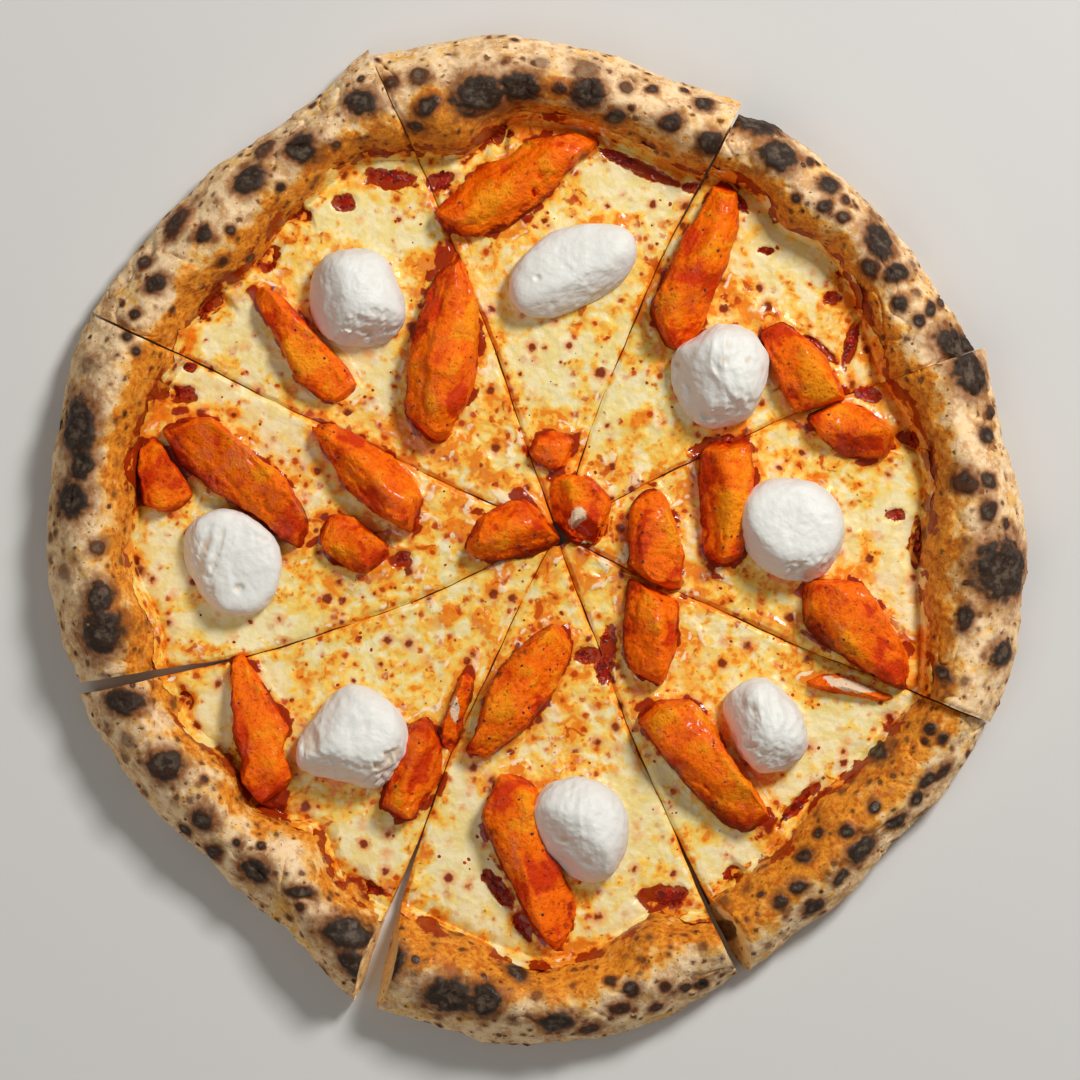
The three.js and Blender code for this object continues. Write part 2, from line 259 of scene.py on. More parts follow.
class Skin:
    """Gathers grids of points, in mm, into one closed mesh with masks on its corners."""

    WELD = 0.002  # corners closer than this are one

    def __init__(self) -> None:
        """Starts with no points."""
        self.points: list[Array] = []
        self.faces: list[Array] = []
        self.masks: list[dict[str, Array]] = []
        self.count = 0

    def add(self, points: Array, faces: Array, masks: dict[str, Array]) -> None:
        """Adds points.

        Args:
            points: places in millimetres.
            faces: triangles of the points' numbers.
            masks: values for the points.
        """
        self.points.append(points)
        self.faces.append(faces + self.count)
        self.masks.append(masks)
        self.count += len(points)

    def grid(self, points: Array, flip: bool = False, **masks: Array) -> None:
        """Adds a sheet: a grid of columns and rows of points, with two triangles in each square.

        Args:
            points: columns x rows x 3.
            flip: turns the sheet over. Unturned it faces along (column step) x (row step).
            masks: values for the same grid, or numbers.
        """
        columns, rows = points.shape[:2]
        c, r = np.meshgrid(np.arange(columns - 1), np.arange(rows - 1), indexing="ij")
        a = (c * rows + r).ravel()
        b, d, e = a + rows, a + rows + 1, a + 1
        faces = np.concatenate([np.stack([a, b, d], 1), np.stack([a, d, e], 1)])
        flat = {name: np.broadcast_to(mask, (columns, rows)).ravel() for name, mask in masks.items()}
        self.add(points.reshape(-1, 3), faces[:, ::-1] if flip else faces, flat)

    def wall(self, upper: Array, lower: Array, rows: int, flip: bool = False, **masks: Array) -> None:
        """Adds a straight sheet of so many rows between two lines of points."""
        self.grid(mix(upper[:, None], lower[:, None], np.linspace(0, 1, rows)[:, None]), flip, **masks)

    def underside(self, sheet: Array, **masks: float) -> None:
        """Closes the lower side of a body, from the border of its lowest sheet.

        Args:
            sheet: the lowest sheet, columns x rows x 3.
            masks: values for the underside, a fan of triangles round the border's middle.
        """
        loop = np.concatenate([sheet[0, :-1], sheet[:, -1], sheet[-1, :-1][::-1], sheet[1:-1, 0][::-1]])
        count = len(loop)
        ring = np.arange(count)
        faces = np.stack([np.full(count, count), np.roll(ring, -1), ring], 1)
        flat = {name: np.full(count + 1, float(mask)) for name, mask in masks.items()}
        self.add(np.vstack([loop, loop.mean(axis=0)]), faces, flat)

    def build(self, name: str, sharp: float = 55.0) -> Object:
        """Makes the mesh object.

        Args:
            name: its name.
            sharp: it is smooth, except where it turns by more than this many degrees.

        Returns:
            The object, with each mask as an attribute of its corners.
        """
        points = np.concatenate(self.points)
        _, first, merged = np.unique(np.round(points / self.WELD).astype(np.int64), axis=0,
                                     return_index=True, return_inverse=True)
        faces = merged.reshape(-1)[np.concatenate(self.faces)]
        a, b, c = faces.T
        faces = faces[(a != b) & (b != c) & (c != a)]
        mesh = bpy.data.meshes.new(name)
        mesh.vertices.add(len(first))
        mesh.vertices.foreach_set("co", (points[first] * MM).astype(np.float32).ravel())
        mesh.loops.add(faces.size)
        mesh.loops.foreach_set("vertex_index", faces.astype(np.int32).ravel())
        mesh.polygons.add(len(faces))
        mesh.polygons.foreach_set("loop_start", np.arange(0, faces.size, 3, dtype=np.int32))
        mesh.update(calc_edges=True)
        for mask in sorted({mask for masks in self.masks for mask in masks}):
            whole = np.concatenate([masks.get(mask, np.zeros(len(points)))
                                    for points, masks in zip(self.points, self.masks)])
            layer = mesh.attributes.new(mask, "FLOAT", "POINT")
            layer.data.foreach_set("value", whole[first].astype(np.float32))
        mesh.shade_smooth()
        mesh.set_sharp_from_angle(angle=np.radians(sharp))
        return add_object(name, mesh)


class SurfaceMap:
    """Height of the pizza's upper surface on a square grid, in mm, to lay small things on."""

    STEP = 1.0
    HALF = 180.0

    def __init__(self) -> None:
        """Starts with an empty table."""
        side = int(2 * self.HALF / self.STEP) + 1
        self.heights = np.full((side, side), -1.0)

    def add(self, points: Array) -> None:
        """Raises the map to these points: each cell keeps the highest point over it."""
        flat = points.reshape(-1, 3)
        np.maximum.at(self.heights, self._cells(flat), flat[:, 2])

    def _cells(self, points: Array) -> tuple[Array, Array]:
        """Column and row of the cell under each point."""
        cell = np.round((points[..., :2] + self.HALF) / self.STEP).astype(int)
        return tuple(np.moveaxis(np.clip(cell, 0, len(self.heights) - 1), -1, 0))

    def close(self, rounds: int = 2) -> None:
        """Fills cells that no point fell in with the highest of their neighbours."""
        for _ in range(rounds):
            sides = [np.roll(self.heights, step, axis) for axis in (0, 1) for step in (-1, 1)]
            self.heights = np.where(self.heights < 0, np.max(sides, axis=0), self.heights)

    def height(self, points: Array) -> Array:
        """Reads the map.

        Args:
            points: places in millimetres.

        Returns:
            The surface's height at each place, blended between the four nearest cells.
        """
        place = np.clip((points[..., :2] + self.HALF) / self.STEP, 0, len(self.heights) - 1.001)
        low = np.floor(place).astype(int)
        f = place - low
        x, y = low[..., 0], low[..., 1]
        near = mix(self.heights[x, y], self.heights[x + 1, y], f[..., 0])
        far = mix(self.heights[x, y + 1], self.heights[x + 1, y + 1], f[..., 0])
        return mix(near, far, f[..., 1])


# --- Shader nodes ---

Value = float | tuple | NodeSocket


def srgb(red: int, green: int, blue: int) -> tuple[float, float, float, float]:
    """Turns a colour as seen on a screen to the linear values that shaders take.

    Args:
        red: how much red it has, 0 to 255.
        green: how much green.
        blue: how much blue.

    Returns:
        Red, green, blue and a last value of 1.
    """
    screen = np.array([red, green, blue]) / 255
    linear = np.where(screen <= 0.04045, screen / 12.92, ((screen + 0.055) / 1.055) ** 2.4)
    return (*linear.tolist(), 1.0)


class Net:
    """Short ways to add and join the nodes of a material or of a node group."""

    def __init__(self, tree: NodeTree) -> None:
        """Works on this tree."""
        self.tree = tree

    def node(self, kind: str, settings: dict[str, object] | None = None, **inputs: Value) -> Node:
        """Adds a node.

        Args:
            kind: the node's type, without "ShaderNode".
            settings: properties of the node.
            inputs: values or sockets for its inputs, with _ for a space in a name.

        Returns:
            The node.
        """
        made = self.tree.nodes.new("ShaderNode" + kind)
        for name, value in (settings or {}).items():
            setattr(made, name, value)
        return self.fill(made, **inputs)

    def fill(self, made: Node, **inputs: Value) -> Node:
        """Gives a node's inputs their values.

        Args:
            made: the node.
            inputs: values or sockets, with _ for a space in a name.

        Returns:
            The same node.
        """
        for name, value in inputs.items():
            self.feed(made.inputs[name.replace("_", " ")], value)
        return made

    def feed(self, socket: NodeSocket, value: Value) -> None:
        """Gives one input its value.

        Args:
            socket: the input.
            value: a socket to link to it, or a value to set it to.
        """
        if isinstance(value, NodeSocket):
            self.tree.links.new(value, socket)
        else:
            socket.default_value = value

    def mask(self, name: str) -> NodeSocket:
        """Value of the mesh's mask of this name."""
        return self.node("Attribute", {"attribute_name": name}).outputs["Fac"]

    def sum(self, *terms: Value | tuple[Value, float]) -> NodeSocket:
        """Adds up.

        Args:
            terms: each a value, or a value with the number that it is multiplied by.

        Returns:
            The sum.
        """
        total: Value = 0.0
        for term in terms:
            value, factor = term if isinstance(term, tuple) else (term, 1.0)
            total = self.math("MULTIPLY_ADD", value, factor, total)
        return total

    def math(self, operation: str, *values: Value, kind: str = "Math") -> NodeSocket:
        """One step of arithmetic.

        Args:
            operation: what it does.
            values: for the node's inputs, in their order.
            kind: the node's type, without "ShaderNode".

        Returns:
            The result.
        """
        made = self.node(kind, {"operation": operation})
        for socket, value in zip(made.inputs, values):
            self.feed(socket, value)
        return made.outputs[0]

    def times(self, first: Value, second: Value) -> NodeSocket:
        """Product of two values."""
        return self.math("MULTIPLY", first, second)

    def step(self, value: Value, start: Value, end: Value, low: float = 0.0,
             high: float = 1.0) -> NodeSocket:
        """Soft step from low at start to high at end."""
        return self.node("MapRange", {"interpolation_type": "SMOOTHSTEP"}, Value=value, From_Min=start,
                         From_Max=end, To_Min=low, To_Max=high).outputs[0]

    def blend(self, share: Value, low: Value, high: Value) -> NodeSocket:
        """Blends two colours.

        Args:
            share: how much of the second one there is.
            low: the colour at share 0.
            high: the colour at share 1.

        Returns:
            The blend.
        """
        made = self.node("Mix", {"data_type": "RGBA"})
        for socket, value in zip((made.inputs[0], made.inputs[6], made.inputs[7]), (share, low, high)):
            self.feed(socket, value)
        return made.outputs[2]

    def over(self, colour: Value, share: Value, strength: float, paint: Value) -> NodeSocket:
        """The colour with paint laid over it, by a share that is multiplied by strength."""
        return self.blend(self.times(share, strength), colour, paint)

    def relief(self, shader: Node, height: NodeSocket, strength: float, reach: float) -> None:
        """Lets the height bump the shader's normal: at strength 1, by up to reach millimetres."""
        bump = self.node("Bump", Strength=strength, Distance=reach * MM, Height=height)
        self.feed(shader.inputs["Normal"], bump.outputs[0])

    def noise(self, place: NodeSocket, size: float, detail: float = 2.0, twist: float = 0.0) -> NodeSocket:
        """Noise with hills about size millimetres wide, mostly between -0.5 and 0.5."""
        made = self.node("TexNoise", Vector=place, Scale=1 / (size * MM), Detail=detail, Distortion=twist)
        return self.sum((made.outputs["Fac"], 2.0), -1.0)

    def warped(self, place: NodeSocket, size: float, reach: float) -> NodeSocket:
        """The place moved by up to reach millimetres, by noise with hills of this size."""
        wander = self.node("TexNoise", Vector=place, Scale=1 / (size * MM), Detail=1.0).outputs["Color"]
        return self.math("MULTIPLY_ADD", wander, (2 * reach * MM,) * 3, place, kind="VectorMath")

    def group(self, group: NodeTree, place: NodeSocket, **inputs: Value) -> Node:
        """Adds a shared effect with its own values."""
        return self.node("Group", {"node_tree": group}, Place=place, **inputs)

    def place(self) -> NodeSocket:
        """Object coordinates, in metres."""
        return self.node("TexCoord").outputs["Object"]


def new_group(name: str, inputs: dict[str, float], outputs: tuple[str, ...]) -> tuple[NodeTree, Node, Node]:
    """Starts a node group.

    Args:
        name: what the effect is called.
        inputs: number inputs with their usual values. A Place input comes first by itself.
        outputs: names of the number outputs.

    Returns:
        The group, its input node and its output node.
    """
    tree = bpy.data.node_groups.new(name, "ShaderNodeTree")
    tree.interface.new_socket("Place", in_out="INPUT", socket_type="NodeSocketVector")
    for label, usual in inputs.items():
        socket = tree.interface.new_socket(label, in_out="INPUT", socket_type="NodeSocketFloat")
        socket.default_value = usual
    for label in outputs:
        tree.interface.new_socket(label, in_out="OUTPUT", socket_type="NodeSocketFloat")
    return tree, tree.nodes.new("NodeGroupInput"), tree.nodes.new("NodeGroupOutput")


class Effects:
    """Effects that several finishes share, each a node group that puts out masks or heights."""

    def __init__(self) -> None:
        """Builds each group once."""
        self.specks = self._specks()
        self.mottle = self._mottle()
        self.grain = self._grain()

    def _specks(self) -> NodeTree:
        """Spots of uneven size at random places.

        Returns:
            A group. Spacing is in mm, Size the largest radius as a share of it, and Amount the
            share of places with a spot. Mask is 1 in a spot, and Halo reaches further.
        """
        usual = {"Spacing": 5.0, "Size": 0.3, "Amount": 0.5}
        tree, given, result = new_group("Specks", usual, ("Mask", "Halo"))
        net = Net(tree)
        scale = net.math("DIVIDE", 1 / MM, given.outputs["Spacing"])
        cells = net.node("TexVoronoi", Vector=given.outputs["Place"], Scale=scale)
        draw = net.node("SeparateColor", Color=cells.outputs["Color"])
        share = net.sum((draw.outputs["Red"], 0.75), 0.25)
        radius = net.times(given.outputs["Size"], share)
        there = net.math("LESS_THAN", draw.outputs["Green"], given.outputs["Amount"])
        gap = net.math("DIVIDE", cells.outputs["Distance"], radius)
        for label, start, end in (("Mask", 1.15, 0.6), ("Halo", 2.2, 0.7)):
            spot = net.step(gap, start, end)
            net.feed(result.inputs[label], net.times(spot, there))
        return tree

    def _mottle(self) -> NodeTree:
        """Uneven patches: layered noise with a soft threshold.

        Returns:
            A group. Width is the size of a patch in mm, Level the height where a patch starts,
            Soft the width of its edge, and Twist pulls the patches into swirls.
        """
        usual = {"Width": 10.0, "Level": 0.5, "Soft": 0.1, "Twist": 0.0}
        tree, given, result = new_group("Mottle", usual, ("Share",))
        net = Net(tree)
        scale = net.math("DIVIDE", 1 / MM, given.outputs["Width"])
        hills = net.node("TexNoise", Vector=given.outputs["Place"], Scale=scale, Detail=3.0,
                         Roughness=0.6, Distortion=given.outputs["Twist"])
        start = net.math("SUBTRACT", given.outputs["Level"], given.outputs["Soft"])
        end = net.math("ADD", given.outputs["Level"], given.outputs["Soft"])
        net.feed(result.inputs["Share"], net.step(hills.outputs["Fac"], start, end))
        return tree

    def _grain(self) -> NodeTree:
        """Fine unevenness of a surface.

        Returns:
            A group. Width is the size of its larger bumps in mm, and Fine the strength of the
            smaller ones.
        """
        tree, given, result = new_group("Grain", {"Width": 1.5, "Fine": 0.6}, ("Height",))
        net = Net(tree)
        scale = net.math("DIVIDE", 1 / MM, given.outputs["Width"])
        bumps = net.node("TexNoise", Vector=given.outputs["Place"], Scale=scale, Detail=3.0,
                         Roughness=given.outputs["Fine"])
        net.feed(result.inputs["Height"], bumps.outputs["Fac"])
        return tree


def new_material(name: str) -> tuple[Material, Net, Node]:
    """Starts a material.

    Args:
        name: what the finish is called.

    Returns:
        The material, its net and its shader.
    """
    material = bpy.data.materials.new(name)
    material.use_nodes = True
    net = Net(material.node_tree)
    return material, net, material.node_tree.nodes["Principled BSDF"]


# --- Finishes ---

@dataclass(frozen=True)
class BakedDough:
    """Wood-fired dough: floury and pale outside, oily and golden inside, freckled and blistered."""

    flour: tuple = srgb(250, 212, 162)
    dust: tuple = srgb(252, 230, 188)
    tan: tuple = srgb(206, 150, 92)
    honey: tuple = srgb(246, 192, 98)
    gold: tuple = srgb(238, 148, 26)
    amber: tuple = srgb(190, 88, 12)
    toast: tuple = srgb(140, 78, 34)
    brown: tuple = srgb(88, 46, 22)
    char: tuple = srgb(50, 36, 26)
    ash_and_highlight: tuple = srgb(112, 94, 76)
    stain: tuple = srgb(150, 40, 10)
    crumb: tuple = srgb(244, 208, 146)
    hollow: tuple = srgb(150, 96, 46)

    def build(self, effects: Effects) -> Material:
        """Makes the material.

        Args:
            effects: the shared node groups.

        Returns:
            The material. It reads the masks blister, burn, oily, speckle, stain, crumb and under.
        """
        material, net, shader = new_material("baked_dough")
        place = net.place()
        wavy = net.warped(place, 1.8, 0.8)
        ragged = net.noise(place, 2.6, 3.0)
        wide = net.noise(place, 11.0, 2.0)

        browned = net.group(effects.mottle, place, Width=6.0, Level=0.52, Soft=0.1).outputs[0]
        dusty = net.group(effects.mottle, place, Width=1.7, Level=0.54, Soft=0.06).outputs[0]
        colour = net.blend(net.times(browned, 0.8), self.flour, self.tan)
        colour = net.over(colour, dusty, 0.5, self.dust)

        soaked = net.sum(net.mask("oily"), (ragged, 0.7), (wide, 0.8), (net.mask("stain"), 0.5))
        colour = net.over(colour, net.step(soaked, 0.0, 0.45), 0.85, self.honey)
        oily = net.step(soaked, 0.3, 0.8)
        colour = net.over(colour, oily, 0.9, self.gold)
        rich = net.group(effects.mottle, place, Width=2.8, Level=0.55, Soft=0.13, Twist=0.4).outputs[0]
        ambers = net.times(rich, net.step(soaked, 0.3, 0.9))
        colour = net.over(colour, ambers, 0.85, self.amber)
        height = net.group(effects.grain, place, Width=1.6, Fine=0.65).outputs[0]
        dips = net.times(net.step(height, 0.52, 0.38), net.step(soaked, 0.2, 0.8))
        colour = net.over(colour, dips, 0.5, self.amber)

        dense = net.step(net.sum(net.mask("speckle"), (wide, 1.2)), 0.0, 0.8, 0.12, 0.75)
        freckles = net.group(effects.specks, wavy, Spacing=4.1, Size=0.34, Amount=dense)
        colour = net.over(colour, freckles.outputs["Halo"], 0.45, self.toast)
        colour = net.over(colour, freckles.outputs["Mask"], 0.8, self.brown)
        smudges = net.group(effects.specks, wavy, Spacing=8.0, Size=0.3, Amount=net.math("ADD", dense, 0.15))
        colour = net.over(colour, smudges.outputs["Halo"], 0.55, self.toast)
        colour = net.over(colour, smudges.outputs["Mask"], 0.6, self.brown)
        few = net.times(dense, 0.8)
        dots = net.group(effects.specks, wavy, Spacing=1.8, Size=0.32, Amount=few)
        colour = net.over(colour, dots.outputs["Mask"], 0.7, self.toast)

        fringe = net.sum(net.mask("blister"), (ragged, 0.4))
        burn = net.mask("burn")
        halo = net.times(net.step(fringe, -1.0, 0.0), net.step(burn, -0.1, 0.7))
        colour = net.over(colour, halo, 0.85, self.toast)
        blister = net.times(net.step(fringe, -0.2, 0.2), net.step(burn, 0.0, 0.6))
        # Ash grey in the middle of a charred blister, partly a painted highlight on the char.
        ash_highlight_mottle = net.group(effects.mottle, place, Width=2.6, Level=0.52, Soft=0.12).outputs[0]
        middle = net.step(fringe, 0.3, 0.8, 0.15, 0.7)
        coal = net.blend(net.times(ash_highlight_mottle, middle), self.char, self.ash_and_highlight)
        baked = net.step(net.sum(burn, (ragged, 0.5), (fringe, 0.5)), 0.6, 1.05)
        colour = net.blend(blister, colour, net.blend(baked, self.brown, coal))

        stain = net.step(net.sum(net.mask("stain"), (ragged, 0.9)), 0.3, 0.6)
        colour = net.over(colour, stain, 0.9, self.stain)

        # Painted shade: the cut crumb is darker in its small pores.
        open_crumb = net.blend(dots.outputs["Halo"], self.crumb, self.hollow)
        colour = net.blend(net.mask("crumb"), colour, open_crumb)

        below = net.blend(net.times(browned, 0.7), self.flour, self.toast)
        below = net.blend(net.step(net.sum(wide, (ragged, 0.4)), 0.18, 0.4), below, self.char)
        colour = net.blend(net.mask("under"), colour, below)

        rough = net.sum(0.8, (oily, -0.3), (blister, -0.2), (stain, -0.3))
        net.fill(shader, Base_Color=colour, Roughness=rough, Specular_IOR_Level=0.2)
        net.relief(shader, height, 0.7, 0.6)
        return material


@dataclass(frozen=True)
class MeltedCheese:
    """Mozzarella melted into pale pools, marbled with orange oil and freckled brown."""

    pale: tuple = srgb(242, 220, 144)
    cream: tuple = srgb(250, 240, 202)
    butter: tuple = srgb(248, 208, 100)
    golden: tuple = srgb(250, 178, 52)
    orange: tuple = srgb(236, 120, 14)
    rust: tuple = srgb(190, 70, 4)
    brown: tuple = srgb(124, 34, 4)
    sauce: tuple = srgb(148, 32, 5)

    def build(self, effects: Effects) -> Material:
        """Makes the material.

        Args:
            effects: the shared node groups.

        Returns:
            The material. It reads the masks oil, edge, curd and sauce.
        """
        material, net, shader = new_material("melted_cheese")
        place = net.place()
        wavy = net.warped(place, 1.8, 0.75)
        ragged = net.noise(place, 3.4, 3.0)
        marble = net.noise(place, 8.0, 3.0, 0.9)
        oil = net.mask("oil")

        milky = net.group(effects.mottle, place, Width=6.0, Level=0.5, Soft=0.08, Twist=0.6).outputs[0]
        colour = net.blend(net.times(milky, 0.5), self.pale, self.cream)
        wet = net.sum(oil, (ragged, 1.1), (marble, 1.9), (net.mask("sauce"), 0.6))
        colour = net.blend(net.step(wet, -0.15, 0.4), colour, self.butter)
        colour = net.over(colour, net.step(wet, 0.4, 0.75), 0.75, self.golden)
        oily = net.step(wet, 0.85, 1.1)
        colour = net.over(colour, oily, 0.75, self.orange)
        curds = net.step(net.sum(net.mask("curd"), (ragged, 0.9)), 0.45, 0.8)
        colour = net.over(colour, curds, 0.7, self.cream)
        swirls = net.group(effects.mottle, place, Width=6.5, Level=0.6, Soft=0.05, Twist=1.0).outputs[0]
        swirls = net.times(swirls, net.step(wet, 0.1, 0.9))
        colour = net.over(colour, swirls, 0.75, self.orange)

        fine = net.group(effects.specks, wavy, Spacing=2.0, Size=0.36, Amount=0.35)
        tinted = net.times(fine.outputs["Halo"], net.step(wet, -0.3, 0.6, 0.1, 0.8))
        colour = net.blend(tinted, colour, self.orange)
        flecks = net.group(effects.specks, wavy, Spacing=4.2, Size=0.36, Amount=0.6)
        there = net.step(wet, -0.6, 0.4, 0.25, 1.0)
        colour = net.blend(net.times(net.times(flecks.outputs["Halo"], 0.6), there),
                           colour, self.orange)
        colour = net.blend(net.times(flecks.outputs["Mask"], there), colour, self.rust)
        spots = net.group(effects.specks, wavy, Spacing=7.0, Size=0.3, Amount=0.65)
        colour = net.over(colour, spots.outputs["Halo"], 0.65, self.orange)
        colour = net.over(colour, spots.outputs["Mask"], 0.95, self.brown)

        # Pale cheese lines along the cuts and round the chicken, partly a painted highlight.
        edge = net.step(net.sum(net.mask("edge"), (ragged, 1.0)), 0.5, 0.75)
        colour = net.over(colour, edge, 0.75, self.cream)
        streaks = net.step(net.noise(place, 7.0, 2.0, 1.2), 0.28, 0.36)
        streaks = net.times(streaks, net.step(wet, 0.1, 0.7))
        colour = net.over(colour, streaks, 0.8, self.rust)
        sauced = net.step(net.sum(net.mask("sauce"), (ragged, 1.0)), 0.35, 0.6)
        colour = net.over(colour, sauced, 0.95, self.sauce)

        net.fill(shader, Base_Color=colour, Roughness=net.sum(0.34, (oily, -0.1), (sauced, -0.16)),
                 Coat_Roughness=0.08, Coat_Weight=net.sum(0.14, (oily, 0.25)), Specular_IOR_Level=0.2)
        height = net.group(effects.grain, place, Width=3.4, Fine=0.45).outputs[0]
        net.relief(shader, height, 0.7, 1.0)
        return material


@dataclass(frozen=True)
class BuffaloChicken:
    """Roast chicken under hot orange sauce: lighter on top and darker down its sides, partly painted light
    and shade.
    """

    bright: tuple = srgb(255, 154, 16)
    body: tuple = srgb(255, 112, 0)
    deep: tuple = srgb(214, 56, 0)
    dark: tuple = srgb(104, 24, 0)
    black: tuple = srgb(30, 14, 8)
    meat: tuple = srgb(238, 208, 172)

    def build(self, effects: Effects) -> Material:
        """Makes the material.

        Args:
            effects: the shared node groups.

        Returns:
            The material. It reads the masks crest, scorch, flesh and hollow.
        """
        material, net, shader = new_material("buffalo_chicken")
        place = net.place()
        wavy = net.warped(place, 1.6, 0.6)
        ragged = net.noise(place, 3.0, 3.0)
        wide = net.noise(place, 13.0, 1.0)
        crest = net.mask("crest")

        # Real tone mixed with painted light: brighter high up and on the strip's left side, where the light
        # falls, and darker in the hollows (painted shade).
        lit = net.sum(crest, (ragged, 0.6), (wide, 1.6), (net.mask("hollow"), -0.4))
        colour = net.blend(net.step(lit, 0.1, 0.65), self.deep, self.body)
        colour = net.over(colour, net.step(lit, 0.8, 1.4), 0.85, self.bright)
        # Painted shade: dark red low down the strip's sides.
        low = net.step(net.sum(crest, (ragged, 0.7), (wide, 0.5)), 0.4, 0.05)
        colour = net.over(colour, low, 0.8, self.dark)
        wet = net.group(effects.mottle, place, Width=8.0, Level=0.55, Soft=0.07, Twist=0.6).outputs[0]
        colour = net.over(colour, wet, 0.3, self.deep)
        height = net.group(effects.grain, place, Width=1.7, Fine=0.75).outputs[0]
        # Painted shade and highlight: the grain's dips are darkened, and its peaks are brightened where the
        # strip is lit.
        colour = net.blend(net.step(height, 0.48, 0.34, 0.0, 0.5), colour, self.deep)
        colour = net.blend(net.step(height, 0.4, 0.28, 0.0, 0.5), colour, self.dark)
        highlight_peaks = net.times(net.step(height, 0.54, 0.7, 0.0, 0.5), net.step(lit, 0.5, 1.0))
        colour = net.blend(highlight_peaks, colour, self.bright)

        flesh = net.step(net.sum(net.mask("flesh"), (ragged, 0.8)), 0.4, 0.65)
        colour = net.blend(flesh, colour, self.meat)
        # Painted shade and scorch: dark on the marked side, with black crust where the mask is strongest.
        scorch = net.step(net.sum(net.mask("scorch"), (ragged, 1.1)), 0.35, 1.0)
        colour = net.over(colour, scorch, 0.8, self.dark)
        crusted = net.step(net.sum(net.mask("scorch"), (ragged, 1.4)), 0.95, 1.35)
        colour = net.over(colour, crusted, 0.8, self.black)
        herbs = net.group(effects.specks, wavy, Spacing=1.9, Size=0.26, Amount=0.35)
        colour = net.over(colour, herbs.outputs["Mask"], 0.55, self.dark)

        net.fill(shader, Base_Color=colour, Roughness=net.sum(0.52, (wet, -0.2), (flesh, 0.1)),
                 Coat_Roughness=0.18, Coat_Weight=net.times(wet, 0.35),
                 Specular_IOR_Level=0.12)
        net.relief(shader, height, 0.9, 1.0)
        return material


@dataclass(frozen=True)
class WhippedCream:
    """Whipped cream cheese: matt white, with a warm painted shade in its creases."""

    white: tuple = srgb(232, 230, 221)
    warm_shade: tuple = srgb(222, 200, 172)

    def build(self, effects: Effects) -> Material:
        """Makes the material.

        Args:
            effects: the shared node groups.

        Returns:
            The material. It reads the mask crease.
        """
        material, net, shader = new_material("whipped_cream_cheese")
        place = net.place()
        uneven = net.group(effects.mottle, place, Width=6.0, Level=0.55, Soft=0.2).outputs[0]
        # Painted shade: a warm tone in the creases, dents, pits and torn places.
        crease_shade = net.step(net.sum(net.mask("crease"), (uneven, 0.25)), 0.2, 1.2)
        net.fill(shader, Base_Color=net.blend(crease_shade, self.white, self.warm_shade),
                 Roughness=net.sum(0.5, (uneven, 0.12)), Subsurface_Weight=0.12,
                 Subsurface_Radius=(1.0, 0.8, 0.6), Subsurface_Scale=1.5 * MM)
        height = net.group(effects.grain, place, Width=2.6, Fine=0.55).outputs[0]
        net.relief(shader, height, 0.4, 0.8)
        return material


@dataclass(frozen=True)
class TomatoSauce:
    """Dark red tomato sauce, wet and lumpy."""

    red: tuple = srgb(160, 26, 0)
    dark: tuple = srgb(104, 14, 2)
    thin: tuple = srgb(198, 74, 12)

    def build(self, effects: Effects) -> Material:
        """Makes the material.

        Args:
            effects: the shared node groups.

        Returns:
            The material. It reads the mask edge.
        """
        material, net, shader = new_material("tomato_sauce")
        place = net.place()
        lumps = net.group(effects.mottle, place, Width=2.5, Level=0.5, Soft=0.12).outputs[0]
        thinned = net.step(net.sum(net.mask("edge"), (lumps, -0.3)), 0.55, 1.0)
        colour = net.blend(thinned, net.blend(lumps, self.red, self.dark), self.thin)
        net.fill(shader, Base_Color=colour, Roughness=net.sum(0.15, (lumps, 0.1)), Specular_IOR_Level=0.22)
        height = net.group(effects.grain, place, Width=2.2, Fine=0.6).outputs[0]
        net.relief(shader, height, 0.8, 1.0)
        return material


@dataclass(frozen=True)
class Seasoning:
    """A dark seasoning with lighter and darker grains."""

    name: str
    light: tuple
    dark: tuple
    roughness: float

    def build(self, effects: Effects) -> Material:
        """Makes the material.

        Args:
            effects: the shared node groups.

        Returns:
            The material. It reads no mask.
        """
        material, net, shader = new_material(self.name)
        place = net.place()
        grains = net.group(effects.mottle, place, Width=1.5, Level=0.5, Soft=0.1).outputs[0]
        net.fill(shader, Base_Color=net.blend(grains, self.light, self.dark),
                 Roughness=net.sum(self.roughness, (grains, 0.1)))
        return material


# --- The slices ---

@dataclass(frozen=True)
class Cut:
    """A knife cut: its bearing in degrees, its bow and its width at the outer edge in mm."""

    bearing: float
    bow: float
    opening: float

    def drift(self, radius: Array) -> Array:
        """How far the cut strays aside at this distance from the hub: two waves."""
        return 0.3 * np.sin(radius / 9.7 + self.bearing) + 0.07 * np.sin(radius / 1.9 + 2 * self.bearing)

    def squeeze(self, radius: Array) -> Array:
        """How wide the cut is at this distance from the hub, as a share of its usual width."""
        return 1 + 0.5 * np.sin(radius / 8.1 + 3 * self.bearing) + 0.4 * np.sin(radius / 2.7 + self.bearing)


class Stroke(Enum):
    """The eight cuts from the hub to the edge, counterclockwise."""

    LOWER_RIGHT = Cut(-23.5, -2, 0.6)
    RIGHT = Cut(23.5, 5, 0.5)
    UPPER_RIGHT = Cut(66.6, 4.5, 0.3)
    UPPER_LEFT = Cut(111.2, -3, 0.5)
    LEFT = Cut(154.5, 0.5, 0.8)
    LOWER_LEFT = Cut(197.8, 8, 3.6)
    LOW_BOTTOM = Cut(247.8, -4.5, 5.6)
    BOTTOM = Cut(292.6, -2.5, 1.6)


